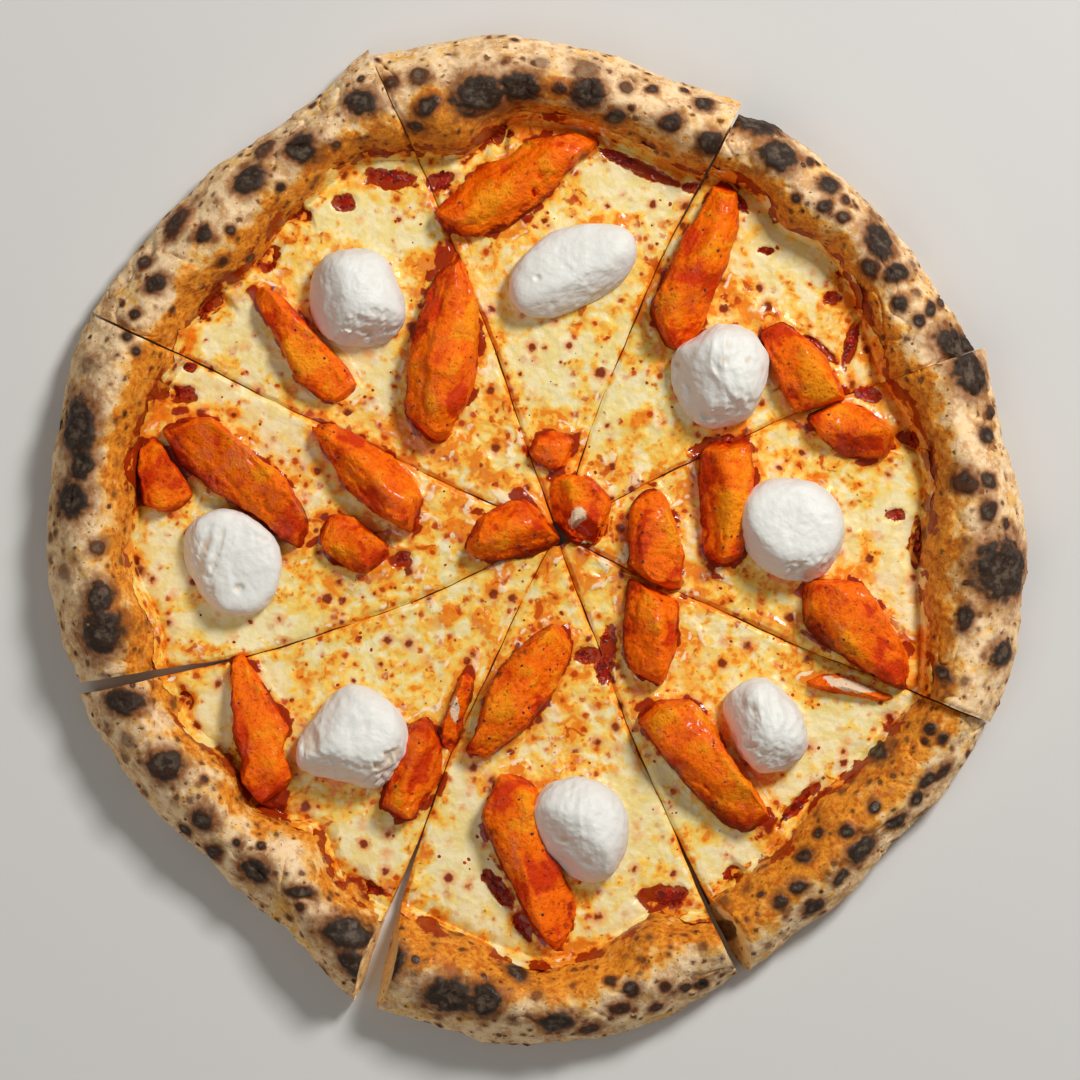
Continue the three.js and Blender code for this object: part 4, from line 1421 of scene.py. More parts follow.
@dataclass
class DoughSlice(Piece):
    """The dough of one slice: a flat base and a puffed, blistered rim."""

    SEED = 100

    shape: SliceShape
    columns: int = 200
    flat_rows: int = 10
    rim_rows: int = 84
    layers: int = 12
    small_blister: float = 6.0  # spacing of the small blisters
    core_height: float = 6.0  # middle of the rim's section, from which it swells
    hills: Row = (1.5, 0.9, 0.22)  # heights of the rim's broad, middle and fine noise
    crease: float = 0.9  # how deep the folds between broad hills are
    worn: float = 1.3  # how far the rim is rounded off beside a cut
    hole: float = 2.4  # how deep a bubble in a cut face is
    cavity: float = 4.5  # how deep a burnt cavity in a cut face is

    def blisters(self, points: Array, on_rim: Array) -> tuple[Array, Array, Array]:
        """Blisters of the crust.

        A blister's field is 1 in its middle and 0 on its edge. Its edge wanders with the noise.
        It rises as a soft step and sinks again in its middle. Small blisters lie one in each cell.

        Args:
            points: the rim's points before they are raised.
            on_rim: their place across the rim, 0 at its foot and 1 at its outer edge.

        Returns:
            The field, how burnt the blister at each point is, and how far it rises.
        """
        wander = self.noise.layered(points, 4.5, 3)
        fields, burn = np.full(points.shape[:-1], -2.0), np.zeros(points.shape[:-1])
        rise = np.zeros(points.shape[:-1])
        for spot in self.shape.blisters:
            radius = (spot.length + spot.width) / 2
            flat = spot.distance(points)
            height = points[..., 2][np.unravel_index(np.argmin(flat), flat.shape)]
            gap = np.hypot(flat, (points[..., 2] - height) / (1.5 * radius)) + 0.34 * wander
            here = 1 - gap
            nearer = here > fields
            fields = np.where(nearer, here, fields)
            burn = np.where(nearer, spot.strength, burn)
            dimple = 1 - 0.4 * smooth(here, 0.3, 0.9)
            rise = np.maximum(rise, (0.3 + 0.17 * min(radius, 9)) * smooth(here, -0.2, 0.35) * dimple)
        gap, draw = self.noise.cells(points, self.small_blister)
        size = mix(0.1, 0.27, draw[..., 0] ** 2)
        gathered = self.noise.waves(points + 40, 17) > -0.3
        shown = (draw[..., 1] < 0.3 + 0.5 * self.shape.leopard) * gathered * smooth(on_rim, 0.12, 0.3)
        small = np.where(shown > 0.5, 1 - (gap + 0.12 * wander) / size, -2.0)
        nearer = small > fields
        rise = rise + 0.35 * smooth(small, -0.4, 0.6)
        return np.maximum(fields, small), np.where(nearer, mix(0.2, 0.8, draw[..., 2]), burn), rise

    def swell(self, points: Array, on_rim: Array) -> tuple[Array, dict[str, Array]]:
        """How far each point of the rim is pushed outwards, and the masks of its colours.

        Args:
            points: columns x rows x 3 points of the plain rim.
            on_rim: place across the rim.

        Returns:
            The push in mm: three widths of noise, blisters and swells. Then the masks.
        """
        shape, noise = self.shape, self.noise
        fields, burn, rise = self.blisters(points, on_rim)
        broad = noise.layered(points, 26, 2)
        folds = np.abs(noise.waves(points + 300, (11, 11, 7)))
        high, middle, fine = self.hills
        push = high * broad + middle * noise.layered(points, 8, 2) + fine * noise.layered(points, 2.2, 2)
        push = push - self.crease * smooth(folds, 0.14, 0.0) * smooth(broad, 0.2, -0.3)
        for swell in shape.swells:
            push = push + swell.strength * (1 - smooth(swell.distance(points), 0.2, 1.3))
        warp = 0.25 * noise.layered(points, 9, 3)
        oily = 0.95 - 1.25 * smooth(on_rim + warp, shape.oily - 0.22, shape.oily + 0.2)
        oily = np.maximum(oily, cover(shape.oil, points, warp, 0.25))
        foot = (1 - smooth(on_rim, 0.1, 0.2)) * smooth(noise.waves(points + 80, 10), -0.1, 0.3)
        stain = np.maximum(0.9 * cover(SAUCE_PATCHES, points, warp, 0.5), 0.85 * foot)
        masks = {"blister": fields, "burn": burn, "oily": oily, "stain": stain, "crumb": 0.0,
                 "speckle": shape.leopard}
        return push + rise, masks

    def build(self) -> tuple[Object, Array]:
        """Makes the mesh.

        The upper sheet runs from the tip over the rim to its widest line, and the lower one from
        there back to the table. A fan closes the flat underside, and sheets close the cut faces.

        Returns:
            The object and the points of its upper side.
        """
        shape = self.shape
        share = crowded(self.columns, 0.6)[:, None]
        flat = np.linspace(0, 1, self.flat_rows, endpoint=False)[None, :]
        over = (1 - np.cos(np.linspace(0, np.pi, self.rim_rows)))[None, :] / 2
        foot, reach = shape.foot(share), along(shape.reach, share)
        radius = np.concatenate([mix(TIP_RADIUS, foot, flat), mix(foot, reach, over)], axis=1)
        on_rim = np.concatenate([np.zeros_like(flat), over], axis=1)
        lifted = np.clip((on_rim - RIM_CONTACT) / (1 - RIM_CONTACT), 0, 1)
        top_height = shape.rim_top(share, on_rim)
        low_height = EQUATOR_HEIGHT * (1 - np.sqrt(1 - lifted ** 2)) + 0 * share
        core = shape.place(share, mix(foot, reach, 0.55), self.core_height)
        dome = smooth(on_rim, 0, 0.12)

        sheets = []
        for height, grow in ((top_height, dome), (low_height, smooth(on_rim, RIM_CONTACT, 1))):
            points = shape.place(share, radius, height)
            push, masks = self.swell(points, on_rim + 0 * share)
            moved = points + unit(points - core) * (push * grow)[..., None]
            moved[..., 2] = np.maximum(moved[..., 2], 0)
            sheets.append((moved, masks))
        (top, top_masks), (low, low_masks) = sheets
        edge = shape.edge(share, radius)
        worn = (1 - smooth(edge, 0, 2.4)) ** 2 * dome * (1 - on_rim ** 6)
        top[..., 2] -= self.worn * worn
        top[:, -1] = low[:, -1]

        skin = Skin()
        contact = int(np.searchsorted(on_rim[0], RIM_CONTACT))
        low[:, :contact + 1, 2] = 0
        skin.grid(top, flip=True, under=0.0, **top_masks)
        outer = {name: mask[:, contact:] if np.ndim(mask) else mask for name, mask in low_masks.items()}
        fading = 1 - smooth(low[:, contact:, 2], 0, 5)
        skin.grid(low[:, contact:], under=fading, **outer)
        self._close(skin, top, low, contact)
        return skin.build(f"dough_slice_{shape.number}"), top

    def _close(self, skin: Skin, top: Array, low: Array, contact: int) -> None:
        """Closes the cut faces, the tip and the flat underside.

        Args:
            skin: the mesh that is being gathered.
            top: the upper sheet.
            low: the lower sheet.
            contact: the row where the underside leaves the table.
        """
        layer = np.linspace(0, 1, self.layers + 1)[None, :, None]
        inside = np.sin(np.pi * layer) ** 0.5
        for column, stroke, inward in ((0, self.shape.first, 1), (-1, self.shape.second, -1)):
            face = mix(top[column][:, None], low[column][:, None], layer)
            thick = smooth(top[column][:, 2] - low[column][:, 2], 3, 12)[:, None, None]
            gap, draw = self.noise.cells(face, 5.5)
            holes = smooth(gap, 0.55, 0.15) * mix(0.4, 1, draw[..., 0])
            cavity = cover(self.shape.cavities, face, 0.6 * self.noise.layered(face, 3.5, 3), 0.4)
            depth = self.hole * holes + 0.5 * self.noise.layered(face, 3, 2) + 0.3 + self.cavity * cavity
            depth = depth[..., None] * inside
            bearing = np.radians(stroke.value.bearing)
            sideways = np.array([-np.sin(bearing), np.cos(bearing), 0]) * inward
            push = mix(0.25, 1, thick)
            push[0] = 0  # here the face meets the tip's wall
            face = face + sideways * depth * push
            crumb = (inside * np.ones_like(thick))[..., 0] * (1 - 0.7 * cavity)
            skin.grid(face, flip=inward > 0, crumb=crumb, blister=2.6 * cavity - 2, burn=0.75, oily=0.3)
        skin.wall(top[:, 0], low[:, 0], self.layers + 1, blister=-2.0, crumb=1.0)
        skin.underside(low[:, :contact + 1], under=1.0, blister=-2.0)


@dataclass
class CheeseLayer(Piece):
    """The melted cheese of one slice."""

    SEED = 200

    shape: SliceShape
    columns: int = 190
    rows: int = 190
    climb: float = 3.0  # how far the cheese runs up the rim, on average
    wander: float = 4.2  # how far its shore strays from that
    thin: float = 0.7  # how far the shore sinks into the dough
    lip: float = 0.2  # how far it stands up beside a cut
    hug: float = 0.9  # how far it climbs the chicken and the cream
    dip: float = 1.2  # how far it sinks where the sauce shows through

    def shore(self, share: Array) -> Array:
        """Outline of the cheese.

        Args:
            share: where between the two cuts.

        Returns:
            The distance from the hub to where the cheese ends: near the rim's foot, with bays.
        """
        foot = self.shape.foot(share)
        line = self.shape.place(share, foot, 0.0)
        bays = cover(SAUCE_PATCHES, line, 0.2 * self.noise.layered(line, 8, 2), 0.6)
        stray = self.noise.layered(line, 14, 5) * self.wander
        return foot + self.climb + stray - 6.5 * bays

    def build(self) -> tuple[Object, Array]:
        """Makes the mesh.

        The height is the base, plus the thickness, which rounds off towards the shore and the cuts,
        plus noise, curds near the hub, and lips (bell curves and exponentials of the distance) by the
        cuts and the toppings. Past the rim's foot the layer follows the rim's slope.

        Returns:
            The object and the points of its upper side.
        """
        shape = self.shape
        share = crowded(self.columns, 0.5)[:, None]
        row = mix(np.linspace(0, 1, self.rows), np.sin(np.linspace(0, np.pi / 2, self.rows)), 0.35)[None, :]
        shore = self.shore(share)
        radius = mix(TIP_RADIUS, shore, row)
        on_rim = np.clip((radius - shape.foot(share)) / along(shape.rim, share), 0, 1)
        ground = shape.rim_top(share, on_rim) - BASE_THICKNESS
        flat = shape.place(share, radius, np.zeros_like(radius))
        edge = shape.edge(share, radius)
        end = shore - radius
        noise = self.noise

        thick = mix(-self.thin, CHEESE_THICKNESS, smooth(end, -1, 8) ** 0.8)
        thick = thick * mix(0.5, 1, smooth(edge, -0.4, 1.6) ** 0.6)
        lip = self.lip * np.exp(-((edge - 2.6) / 1.5) ** 2) * smooth(end, 2, 12)
        ripples = 0.75 * noise.layered(flat, 13, 2) + 0.3 * noise.layered(flat, 4.2, 2)
        near = clearance(STRIPS, flat)
        topping = np.minimum(near, clearance(DOLLOPS, flat))
        hug = self.hug * np.exp(-np.clip(topping, 0, None) / 2.2)
        central = 1 - smooth(np.hypot(flat[..., 0] - HUB[0], flat[..., 1] - HUB[1]), 30, 80)

        warp = noise.layered(flat, 12, 3)
        pools = cover(PALE_POOLS, flat, 0.5 * warp, 0.4)
        bent = noise.bent(flat, 9, 5, (50, 90))
        curd = smooth(noise.layered(bent, 9, 3), 0.05, 0.4) * (1 - 0.85 * pools) * mix(0.5, 1, central)
        toast = cover(TOASTED_CHEESE, flat, 0.4 * warp, 0.4)
        sauce = cover(SAUCE_PATCHES, flat, 0.35 * noise.layered(flat, 5, 2), 0.35)
        relief = (ripples + 0.35 * curd) * (1 - 0.6 * pools) + 0.5 * toast - self.dip * sauce
        height = CHEESE_FLOOR + thick + lip + hug + relief * smooth(edge, 0, 1.5) * smooth(end, 0, 3)
        height = np.maximum(height, CHEESE_FLOOR - self.thin) + ground

        beside = np.exp(-np.clip(near, 0, None) / 3.5)
        patchy = noise.layered(flat + 210, 9, 2)
        oil = 0.32 + 0.12 * central + 0.6 * beside + 0.8 * warp - 0.9 * pools
        oil = oil + 0.45 * (1 - smooth(end, 0, 10)) + 0.6 * toast
        oil = oil + 0.5 * np.exp(-np.clip(edge, 0, None) / 0.9)
        # White lines by the cuts and round the strips: pale cheese, partly a painted highlight.
        white = 0.6 * np.exp(-((edge - 1.8) / 1.1) ** 2) * smooth(radius, 10, 40) * smooth(patchy, 0, 0.3)
        white = np.maximum(white, 0.7 * np.exp(-((near - 2.2) / 0.9) ** 2) * smooth(patchy, -0.05, 0.25))
        sauce = np.maximum(sauce, smooth(beside, 0.45, 1) * smooth(patchy, 0.05, -0.3))
        sauce = np.maximum(sauce, smooth(end, 4, 0.5) * smooth(patchy, 0.0, -0.25))
        masks = {"oil": oil, "edge": white, "curd": curd, "sauce": sauce}

        top = shape.place(share, radius, height)
        low = shape.place(share, radius, np.full_like(radius, CHEESE_FLOOR))
        skin = Skin()
        skin.grid(top, flip=True, **masks)
        sides = ((top[0], low[0], True), (top[-1], low[-1], False),
                 (top[:, 0], low[:, 0], False), (top[:, -1], low[:, -1], True))
        for upper, lower, flip in sides:
            skin.wall(upper, lower, 4, flip, sauce=np.linspace(0, 0.4, 4), oil=1.1)
        skin.underside(low)
        return skin.build(f"cheese_slice_{shape.number}"), top


@dataclass
class ChickenStrip(Piece):
    """A strip of sauced chicken: a rounded section carried along its axis, between its two sides."""

    SEED = 300

    shape: StripShape
    stations: int = 100
    sides: int = 72
    rings: int = 7
    sunk: float = 1.2  # how deep it lies in the cheese
    planes: int = 8  # flat places on its top
    deepest: Row = (4.0, 3.6, 2.2)  # most that a flat place takes off the top, an end and a side
    pit: float = 2.2  # how deep a hole is
    pushes: Row = (0.8, 0.8, 0.5)  # heights of its pillows, fibres and crust

    def body(self) -> Array:
        """Plain form of the strip: columns along it, rows round it, in mm along, across and up.

        Across, the section is a superellipse between the two sides. Its height follows the square
        root of its width, and falls as a quarter circle at the rounded ends.

        Returns:
            The points before any part is cut off or pushed.
        """
        shape, noise = self.shape, self.noise
        share = (1 - np.cos(np.linspace(0, np.pi, self.stations)))[:, None] / 2
        angle = np.linspace(0, 2 * np.pi, self.sides + 1)[None, :]
        cosine, sine = np.cos(angle), np.sin(angle)
        stretch = (share - 0.5) * shape.length
        line = np.concatenate([stretch, 0 * stretch + 3.7 * shape.number, 0 * stretch], axis=-1)
        right = along(shape.right, share) + 1.1 * noise.layered(line, 7, 4)[:, None]
        left = along(shape.left, share) + 1.1 * noise.layered(line + 30, 7, 4)[:, None]
        start, end = (np.clip(gap / size, 0, 1) for gap, size in
                      ((share * shape.length, shape.round[0]), ((1 - share) * shape.length, shape.round[1])))
        rounded = np.sqrt(np.clip((1 - (1 - start) ** 2) * (1 - (1 - end) ** 2), 0, 1))
        widest = (np.mean(shape.right) + np.mean(shape.left)) * 1.15
        tall = rounded * np.clip((right + left) / widest, 0.2, 1.1) ** 0.5
        tall = tall * (1 + 0.12 * noise.layered(line + 60, 14, 2)[:, None])
        swing = np.sign(cosine) * np.abs(cosine) ** 0.55
        across = np.where(cosine > 0, left, right) * swing * np.sqrt(rounded) * np.where(sine < 0, 0.94, 1)
        dome = (0.34 + 0.66 * np.abs(sine) ** 0.62) * (1 + shape.tilt * swing)
        under = 0.3 * (1 - np.abs(sine) ** 0.6)
        up = np.where(sine >= 0, dome, under) * (shape.height + self.sunk) * tall
        return np.stack([stretch + shape.lean(share) * across, across, up], axis=-1)

    def build(self) -> tuple[Object, Array]:
        """Makes the mesh.

        Random planes cut parts off the top, the ends and the sides. Pillows of muscle, long fibres
        and a fine skin push the surface in and out from its core.

        Returns:
            The object and its points.
        """
        shape, noise = self.shape, self.noise
        local = self.body()
        draw = np.random.default_rng(700 + shape.number)
        free = smooth(local[..., 2], 0, 4)
        scale = min(1.0, shape.height / 12)
        top, ends, sides = self.deepest
        cuts = [(draw.uniform(-0.4, 0.4), draw.uniform(-1.2, 1.2), 1.0, top) for _ in range(self.planes)]
        cuts += [(end, draw.uniform(-1.2, 1.2), 0.3, ends) for end in (-1, 1, -1, 1)]
        cuts += [(draw.uniform(-0.45, 0.45), side, 0.15, sides) for side in (-1, 1, -1, 1, -1, 1)]
        for *facing, deepest in cuts:
            facing = unit(np.array(facing))
            over = local @ facing
            limit = over.max() - scale * draw.uniform(0.3, 1) * deepest
            beyond = np.maximum(over - limit - 0.3 * noise.layered(local + 15, 8, 2), 0)
            local = local - facing * (0.9 * beyond * free)[..., None]
        heart = local * np.array([1, 0.25, 0]) + np.array([0, 0, shape.height * 0.3])
        away = unit(local - heart)
        bent = noise.bent(local, 7, 2, (11, 37))
        pillow, _ = noise.cells(bent / np.array([1.5, 0.9, 0.9]), 8.0)
        fibres = noise.layered(bent / np.array([4.2, 1, 1]) + 30, 2.8, 2)
        crust = noise.layered(local + 60, 2.0, 2)
        broad, lengthwise, fine = self.pushes
        push = scale * (0.6 - broad * pillow ** 2 + lengthwise * fibres + fine * crust)
        local = local + away * (push * free)[..., None]
        local[:, -1] = local[:, 0]
        x, y = shape.world(local[..., 0], local[..., 1])
        points = np.stack([x, y, np.maximum(local[..., 2], 0)], axis=-1)
        depth = cover(shape.pits, points, 0.4 * crust, 0.35) * free
        points[..., 2] = np.maximum(points[..., 2] - self.pit * depth, 0) + TOPPING_BED - self.sunk

        # Painted light: the strip's height share, plus a lean towards its left side, makes its top and that
        # side brighter.
        crest = np.clip(local[..., 2] / (shape.height + self.sunk), 0, 1.1)
        side = local[..., 1] / np.where(local[..., 1] > 0, np.max(shape.left), np.max(shape.right))
        # Painted shade with some scorch: the marked side, for most strips the lower left, away from the
        # light, is darkened.
        dark = smooth(-side, 0.3, 0.95) * shape.scorch[0] + smooth(side, 0.3, 0.95) * shape.scorch[1]
        # Painted shade in the furrows between the fibres and in the pits.
        hollow = smooth(-(0.9 * fibres + 0.4 * crust), 0.1, 0.6) + depth
        flesh = cover(shape.flesh, points, 0.5 * crust, 0.3)
        masks = {"crest": crest + 0.2 * side, "scorch": dark, "flesh": flesh, "hollow": hollow}
        skin = Skin()
        skin.grid(points, flip=True, **masks)
        for station, flip in ((0, True), (-1, False)):
            face = points[station]
            cap = {name: mask[station][:, None] for name, mask in masks.items()}
            skin.wall(face, face[:-1].mean(axis=0) + 0 * face, self.rings, flip, **cap)
        return skin.build(f"chicken_strip_{shape.number:02d}", sharp=80), points


@dataclass
class CreamDollop(Piece):
    """A dollop of whipped cream cheese: a round heap that a spoon has flattened and torn."""

    SEED = 400

    shape: DollopShape
    sides: int = 132
    rows: int = 84
    profile_out: Row = (0, 0.45, 0.8, 0.96, 1.0, 0.97, 0.86, 0.66, 0.36, 0)
    profile_up: Row = (0, 0, 0, 0.12, 0.34, 0.55, 0.76, 0.91, 0.99, 1)
    sunk: float = 0.8  # how deep it lies in the cheese
    pit: float = 1.1  # how deep a hole is

    def build(self) -> tuple[Object, Array]:
        """Makes the mesh.

        A profile turns about the upright axis, as wide as the outline. Lumps push it in and out.
        Most of what stands out beyond a facet's plane is taken away, with a soft edge (a softplus),
        and torn facets get a crumbly relief. Folds are stretched noise, and dents lie one in each
        cell.

        Returns:
            The object and its points.
        """
        shape, noise = self.shape, self.noise
        angle = np.linspace(0, 2 * np.pi, self.sides + 1)[:, None]
        row = np.linspace(0, 1, self.rows)[None, :]
        out, up = along(self.profile_out, row), along(self.profile_up, row)
        out[..., 0] = out[..., -1] = 0
        reach = shape.outline(angle)
        local = np.stack([out * np.cos(angle) * reach, out * np.sin(angle) * reach,
                          up * (shape.height + self.sunk) + 0 * angle], axis=-1)
        heart = np.array([0, 0, shape.height * 0.35])
        away = unit(local - heart)
        free = smooth(local[..., 2], 0, 4)
        local = local + away * (free * (0.8 * noise.layered(local, 14, 2)))[..., None]

        torn = np.zeros(free.shape)
        for facet in shape.facets:
            bearing, slant = np.radians(facet.bearing), np.radians(facet.slant)
            level = np.cos(slant)
            facing = np.array([np.cos(bearing) * level, np.sin(bearing) * level, np.sin(slant)])
            over = (local - heart) @ facing
            limit = over.max() - facet.depth * np.mean(shape.radii) * 2
            beyond = over - limit - 0.7 * noise.layered(local, 9, 2)
            beyond = 1.2 * np.logaddexp(0, beyond / 1.2)
            local = local - facing * (0.72 * beyond * free)[..., None]
            torn = np.maximum(torn, facet.torn * smooth(beyond, 0.6, 2.2))
        bent = noise.bent(local, 15, 4, (5, 45))
        folds = (0.35 - np.abs(noise.waves(bent + 120, (5, 16, 9)))) * shape.wrinkled
        crumbly = noise.layered(local, 3.2, 3)
        gap, draw = noise.cells(bent, 5.0)
        dents = smooth(gap, 0.55, 0.1) * draw[..., 0] ** 2 * min(1.0, 0.1 + shape.wrinkled)
        fluff = noise.layered(local + 200, 1.9, 2)
        push = (0.25 + 1.3 * torn) * crumbly + 0.13 * fluff + 0.8 * folds - 0.75 * dents
        local = local + away * (push * free)[..., None]
        points = local + np.array([*shape.at, 0])
        depth = cover(shape.pits, points, 0.25 * crumbly, 0.5) * free
        points[..., 2] = np.maximum(points[..., 2] - self.pit * depth, 0) + TOPPING_BED - self.sunk
        points[-1] = points[0]
        skin = Skin()
        # The crease mask is painted shade: the dents, the torn places and the pits.
        skin.grid(points, crease=dents + 0.3 * torn + 0.4 * depth)
        return skin.build(f"cream_dollop_{shape.number}", sharp=80), points


@dataclass
class SauceSpots:
    """Tomato sauce where it shows through: one mesh of thin, wet, ragged pools."""

    surface: SurfaceMap
    sides: int = 60
    rings: int = 9
    pools: int = 3  # pools in each patch
    depth: float = 0.7  # how far a pool's underside reaches into the cheese
    proud: float = 0.22  # how far it stands above it
    set_in: float = 0.12  # how far its edge lies below the surface
    read: float = 9.0  # radius of the circle on which its outline reads the noise

    def build(self) -> Object:
        """Makes the mesh.

        Returns:
            The object. Each pool is a lens on the surface, with a ragged ellipse for an outline.
        """
        noise = Noise(500)
        draw = np.random.default_rng(501)
        angle = np.linspace(0, 2 * np.pi, self.sides + 1)[:, None]
        circle = self.read * np.concatenate([np.cos(angle), np.sin(angle), 0 * angle], axis=1)
        ring = np.linspace(0, 1, self.rings)[None, :]
        skin = Skin()
        for spot in SAUCE_PATCHES:
            half = 0.5 * spot.length + 0.4, 0.7 * spot.width + 0.3
            for forth, side, size in draw.uniform((-0.6, -0.4, 0.4), (0.6, 0.4, 1), (self.pools, 3)):
                middle = np.array([spot.x + 31 * forth, spot.y + 31 * side, 0])
                ragged = 1 + 1.2 * noise.layered(middle + circle, 5, 4)[:, None]
                ragged[-1] = ragged[0]
                spread = size * ring * ragged
                forward = forth * spot.length + half[0] * spread * np.cos(angle)
                aside = side * spot.width + half[1] * spread * np.sin(angle)
                x, y = turned(forward, aside, np.radians(spot.bearing), (spot.x, spot.y))
                ground = self.surface.height(np.stack([x, y], axis=-1)) - self.set_in
                lens = (1 - ring ** 2) ** 0.5 * size
                lumps = 1 + 1.3 * noise.layered(np.stack([x, y, ground], axis=-1), 1.8, 2)
                for rise, flip in ((self.proud * lumps, True), (-self.depth, False)):
                    sheet = np.stack([x, y, ground + lens * rise], axis=-1)
                    sheet[-1] = sheet[0]
                    skin.grid(sheet, flip=flip, edge=ring)
        return skin.build("tomato_sauce")


@dataclass
class Sprinkling:
    """Many small grains of one kind, laid on the surface as one mesh."""

    name: str
    seed: int
    count: int
    size: tuple[float, float]  # smallest and largest radius
    thickness: float  # height as a share of the radius
    surface: SurfaceMap
    spread: float | None = None  # how far from the hub they lie on the cheese, or None on the chicken
    sides: int = 6

    def places(self, draw: np.random.Generator) -> Array:
        """Chooses where the grains lie.

        Args:
            draw: the grains' random draws.

        Returns:
            The places: on random strips, or on the cheese clear of the toppings.
        """
        if self.spread is None:
            weights = np.array([strip.length * strip.height for strip in STRIPS])
            chosen = [STRIPS[i] for i in draw.choice(len(STRIPS), self.count, p=weights / weights.sum())]
            share, aside = draw.uniform(0.1, 0.9, self.count), draw.uniform(-0.75, 0.75, self.count)
            found = []
            for strip, at, off in zip(chosen, share, aside):
                width = along(strip.left if off > 0 else strip.right, np.array(at))
                forward = (at - 0.5) * strip.length + strip.lean(at) * off * width
                found.append(strip.world(forward, off * width))
            return np.array(found, float)
        bearing = draw.uniform(0, 2 * np.pi, self.count)
        radius = self.spread * np.sqrt(draw.random(self.count))
        points = np.stack([HUB[0] + radius * np.cos(bearing), HUB[1] + radius * np.sin(bearing)], axis=1)
        free = (clearance(STRIPS, points) > 1.5) & (clearance(DOLLOPS, points) > 1)
        return points[free]

    def build(self) -> Object:
        """Makes the mesh.

        Returns:
            The object. Each grain is a lens with uneven corners, turned at random.
        """
        draw = np.random.default_rng(self.seed)
        places = self.places(draw)
        count = len(places)
        around = np.arange(self.sides)
        following, tip = np.roll(around, -1), np.full(self.sides, self.sides)
        angle = 2 * np.pi * around / self.sides
        ring = np.stack([np.cos(angle), np.sin(angle), 0 * angle], axis=1)
        body = np.concatenate([ring, [[0, 0, self.thickness], [0, 0, -self.thickness]]])
        faces = np.concatenate([np.stack([around, following, tip], 1),
                                np.stack([following, around, tip + 1], 1)])
        size = draw.uniform(*self.size, count)[:, None, None]
        points = body * size * draw.uniform(0.7, 1.25, (count, len(body), 1))
        turn = draw.uniform(0, 2 * np.pi, count)[:, None]
        x, y = turned(points[..., 0], points[..., 1], turn)
        z = points[..., 2] + self.surface.height(places)[:, None]
        points = np.stack([x + places[:, :1], y + places[:, 1:], z], axis=-1)
        skin = Skin()
        every = (faces[None] + len(body) * np.arange(count)[:, None, None]).reshape(-1, 3)
        skin.add(points.reshape(-1, 3), every, {})
        return skin.build(self.name)


# --- Studio ---

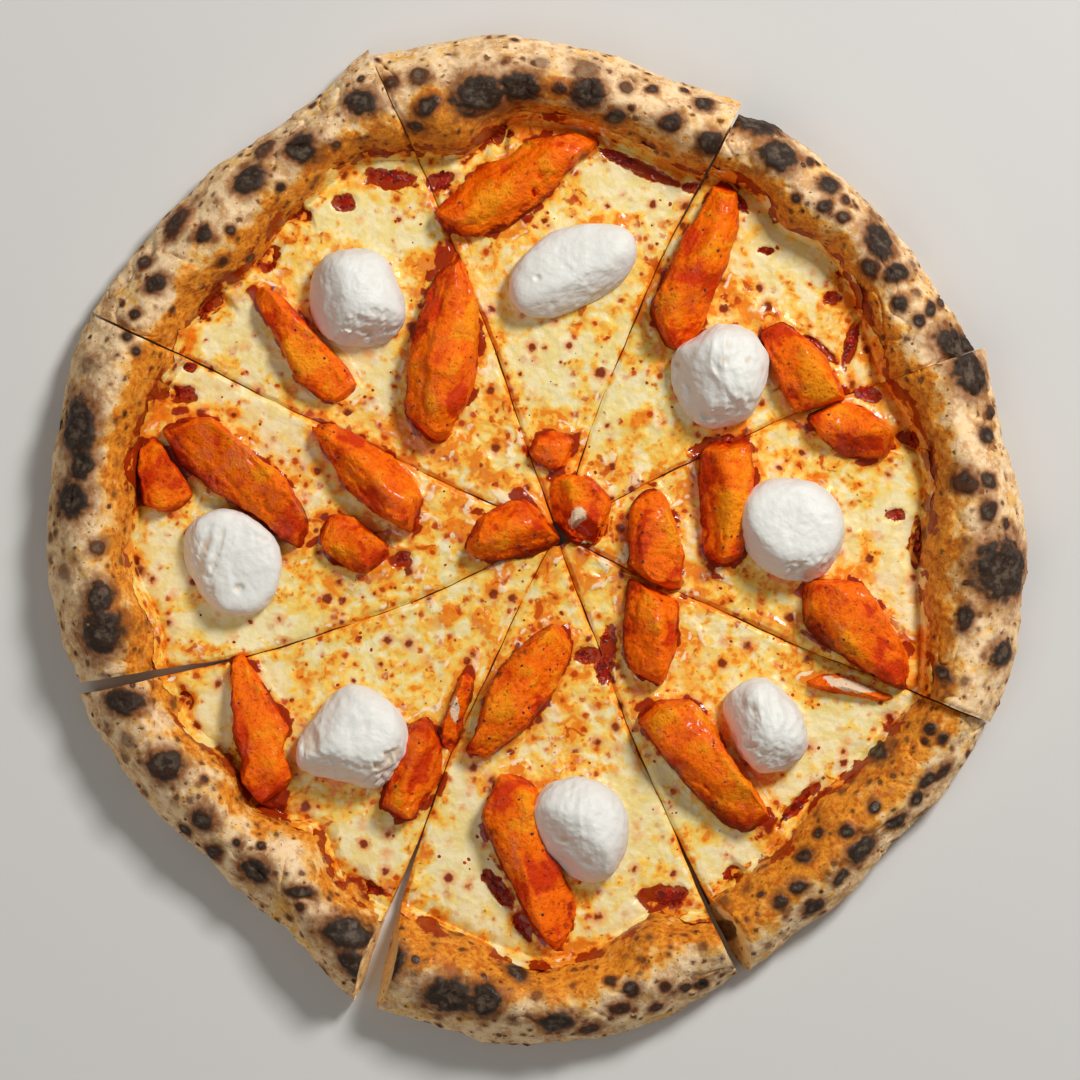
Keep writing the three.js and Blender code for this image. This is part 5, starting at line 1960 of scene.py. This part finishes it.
@dataclass
class Studio:
    """A pale floor, soft lights and a camera that looks straight down."""

    camera_height: float = 2.5
    picture_width: float = 0.36  # width of the picture at the table
    sensor: float = 36.0
    floor_size: float = 6.0
    key_power: float = 30.5
    fill_power: float = 7.0
    sky: float = 0.14  # strength of the light from all round

    def build(self) -> None:
        """Makes the floor, the lights and the camera."""
        self._floor()
        self._light("key", (0.85, 1.0, 1.3), 0.4, self.key_power)
        self._light("fill", (-0.9, -0.7, 1.6), 1.4, self.fill_power)
        world = bpy.data.worlds.new("studio")
        world.use_nodes = True
        backdrop = world.node_tree.nodes["Background"]
        backdrop.inputs["Color"].default_value = srgb(250, 246, 240)
        backdrop.inputs["Strength"].default_value = self.sky
        bpy.context.scene.world = world
        bpy.context.scene.view_settings.view_transform = "Standard"
        self._camera()

    def _floor(self) -> None:
        """A plain pale floor at height 0."""
        half = self.floor_size / 2
        mesh = bpy.data.meshes.new("floor")
        mesh.from_pydata([(-half, -half, 0), (half, -half, 0), (half, half, 0), (-half, half, 0)], [],
                         [(0, 1, 2, 3)])
        material, net, shader = new_material("floor")
        net.fill(shader, Base_Color=srgb(214, 212, 208), Roughness=0.9)
        mesh.materials.append(material)
        add_object("floor", mesh)

    def _light(self, name: str, at: tuple[float, float, float], size: float, power: float) -> None:
        """Adds a square soft light, aimed at the pizza.

        Args:
            name: what it is called.
            at: where it hangs, in metres.
            size: its side, in metres.
            power: its power, in watts.
        """
        lamp = bpy.data.lights.new(name, "AREA")
        lamp.size = size
        lamp.energy = power
        light = add_object(name, lamp)
        light.location = at
        light.rotation_euler = light.location.to_track_quat("Z", "Y").to_euler()

    def _camera(self) -> None:
        """The camera: above the middle, with the picture's top towards +Y."""
        data = bpy.data.cameras.new("camera")
        data.sensor_width = self.sensor
        data.lens = self.sensor * self.camera_height / self.picture_width
        data.clip_end = 20.0
        camera = add_object("camera", data)
        camera.location = (0, 0, self.camera_height + TOPPING_BED * MM)
        bpy.context.scene.camera = camera


def main() -> None:
    """Builds the pizza and the studio."""
    logging.basicConfig(level=logging.INFO, format="%(name)s: %(message)s")
    effects = Effects()
    surface = SurfaceMap()

    dough = BakedDough().build(effects)
    cheese = MeltedCheese().build(effects)
    for shape in SLICES:
        piece, top = DoughSlice(shape).build()
        lay(piece, dough, "baked_dough", f"dough_{shape.number}")
        surface.add(top)
        piece, top = CheeseLayer(shape).build()
        lay(piece, cheese, "melted_cheese", f"cheese_{shape.number}")
        surface.add(top)
    surface.close()
    lay(SauceSpots(surface).build(), TomatoSauce().build(effects), "tomato_sauce")

    chicken = BuffaloChicken().build(effects)
    for strip in STRIPS:
        piece, points = ChickenStrip(strip).build()
        lay(piece, chicken, "buffalo_chicken", f"chicken_{strip.number:02d}")
        surface.add(points)
    cream = WhippedCream().build(effects)
    for dollop in DOLLOPS:
        piece, _ = CreamDollop(dollop).build()
        lay(piece, cream, "whipped_cream_cheese", f"cream_{dollop.number}")

    pepper = Seasoning("black_pepper", srgb(52, 26, 14), srgb(24, 14, 10), 0.5).build(effects)
    chili = Seasoning("chili_oil", srgb(196, 66, 10), srgb(130, 30, 8), 0.2).build(effects)
    for seasoning, sprinkling in (
            (pepper, Sprinkling("pepper_on_chicken", 31, 170, (0.2, 0.55), 0.4, surface)),
            (pepper, Sprinkling("pepper_on_cheese", 32, 60, (0.2, 0.4), 0.4, surface, 125)),
            (chili, Sprinkling("chili_oil_beads", 33, 170, (0.3, 0.8), 0.25, surface, 122))):
        lay(sprinkling.build(), seasoning, None)

    Studio().build()


if __name__ == "__main__":
    main()
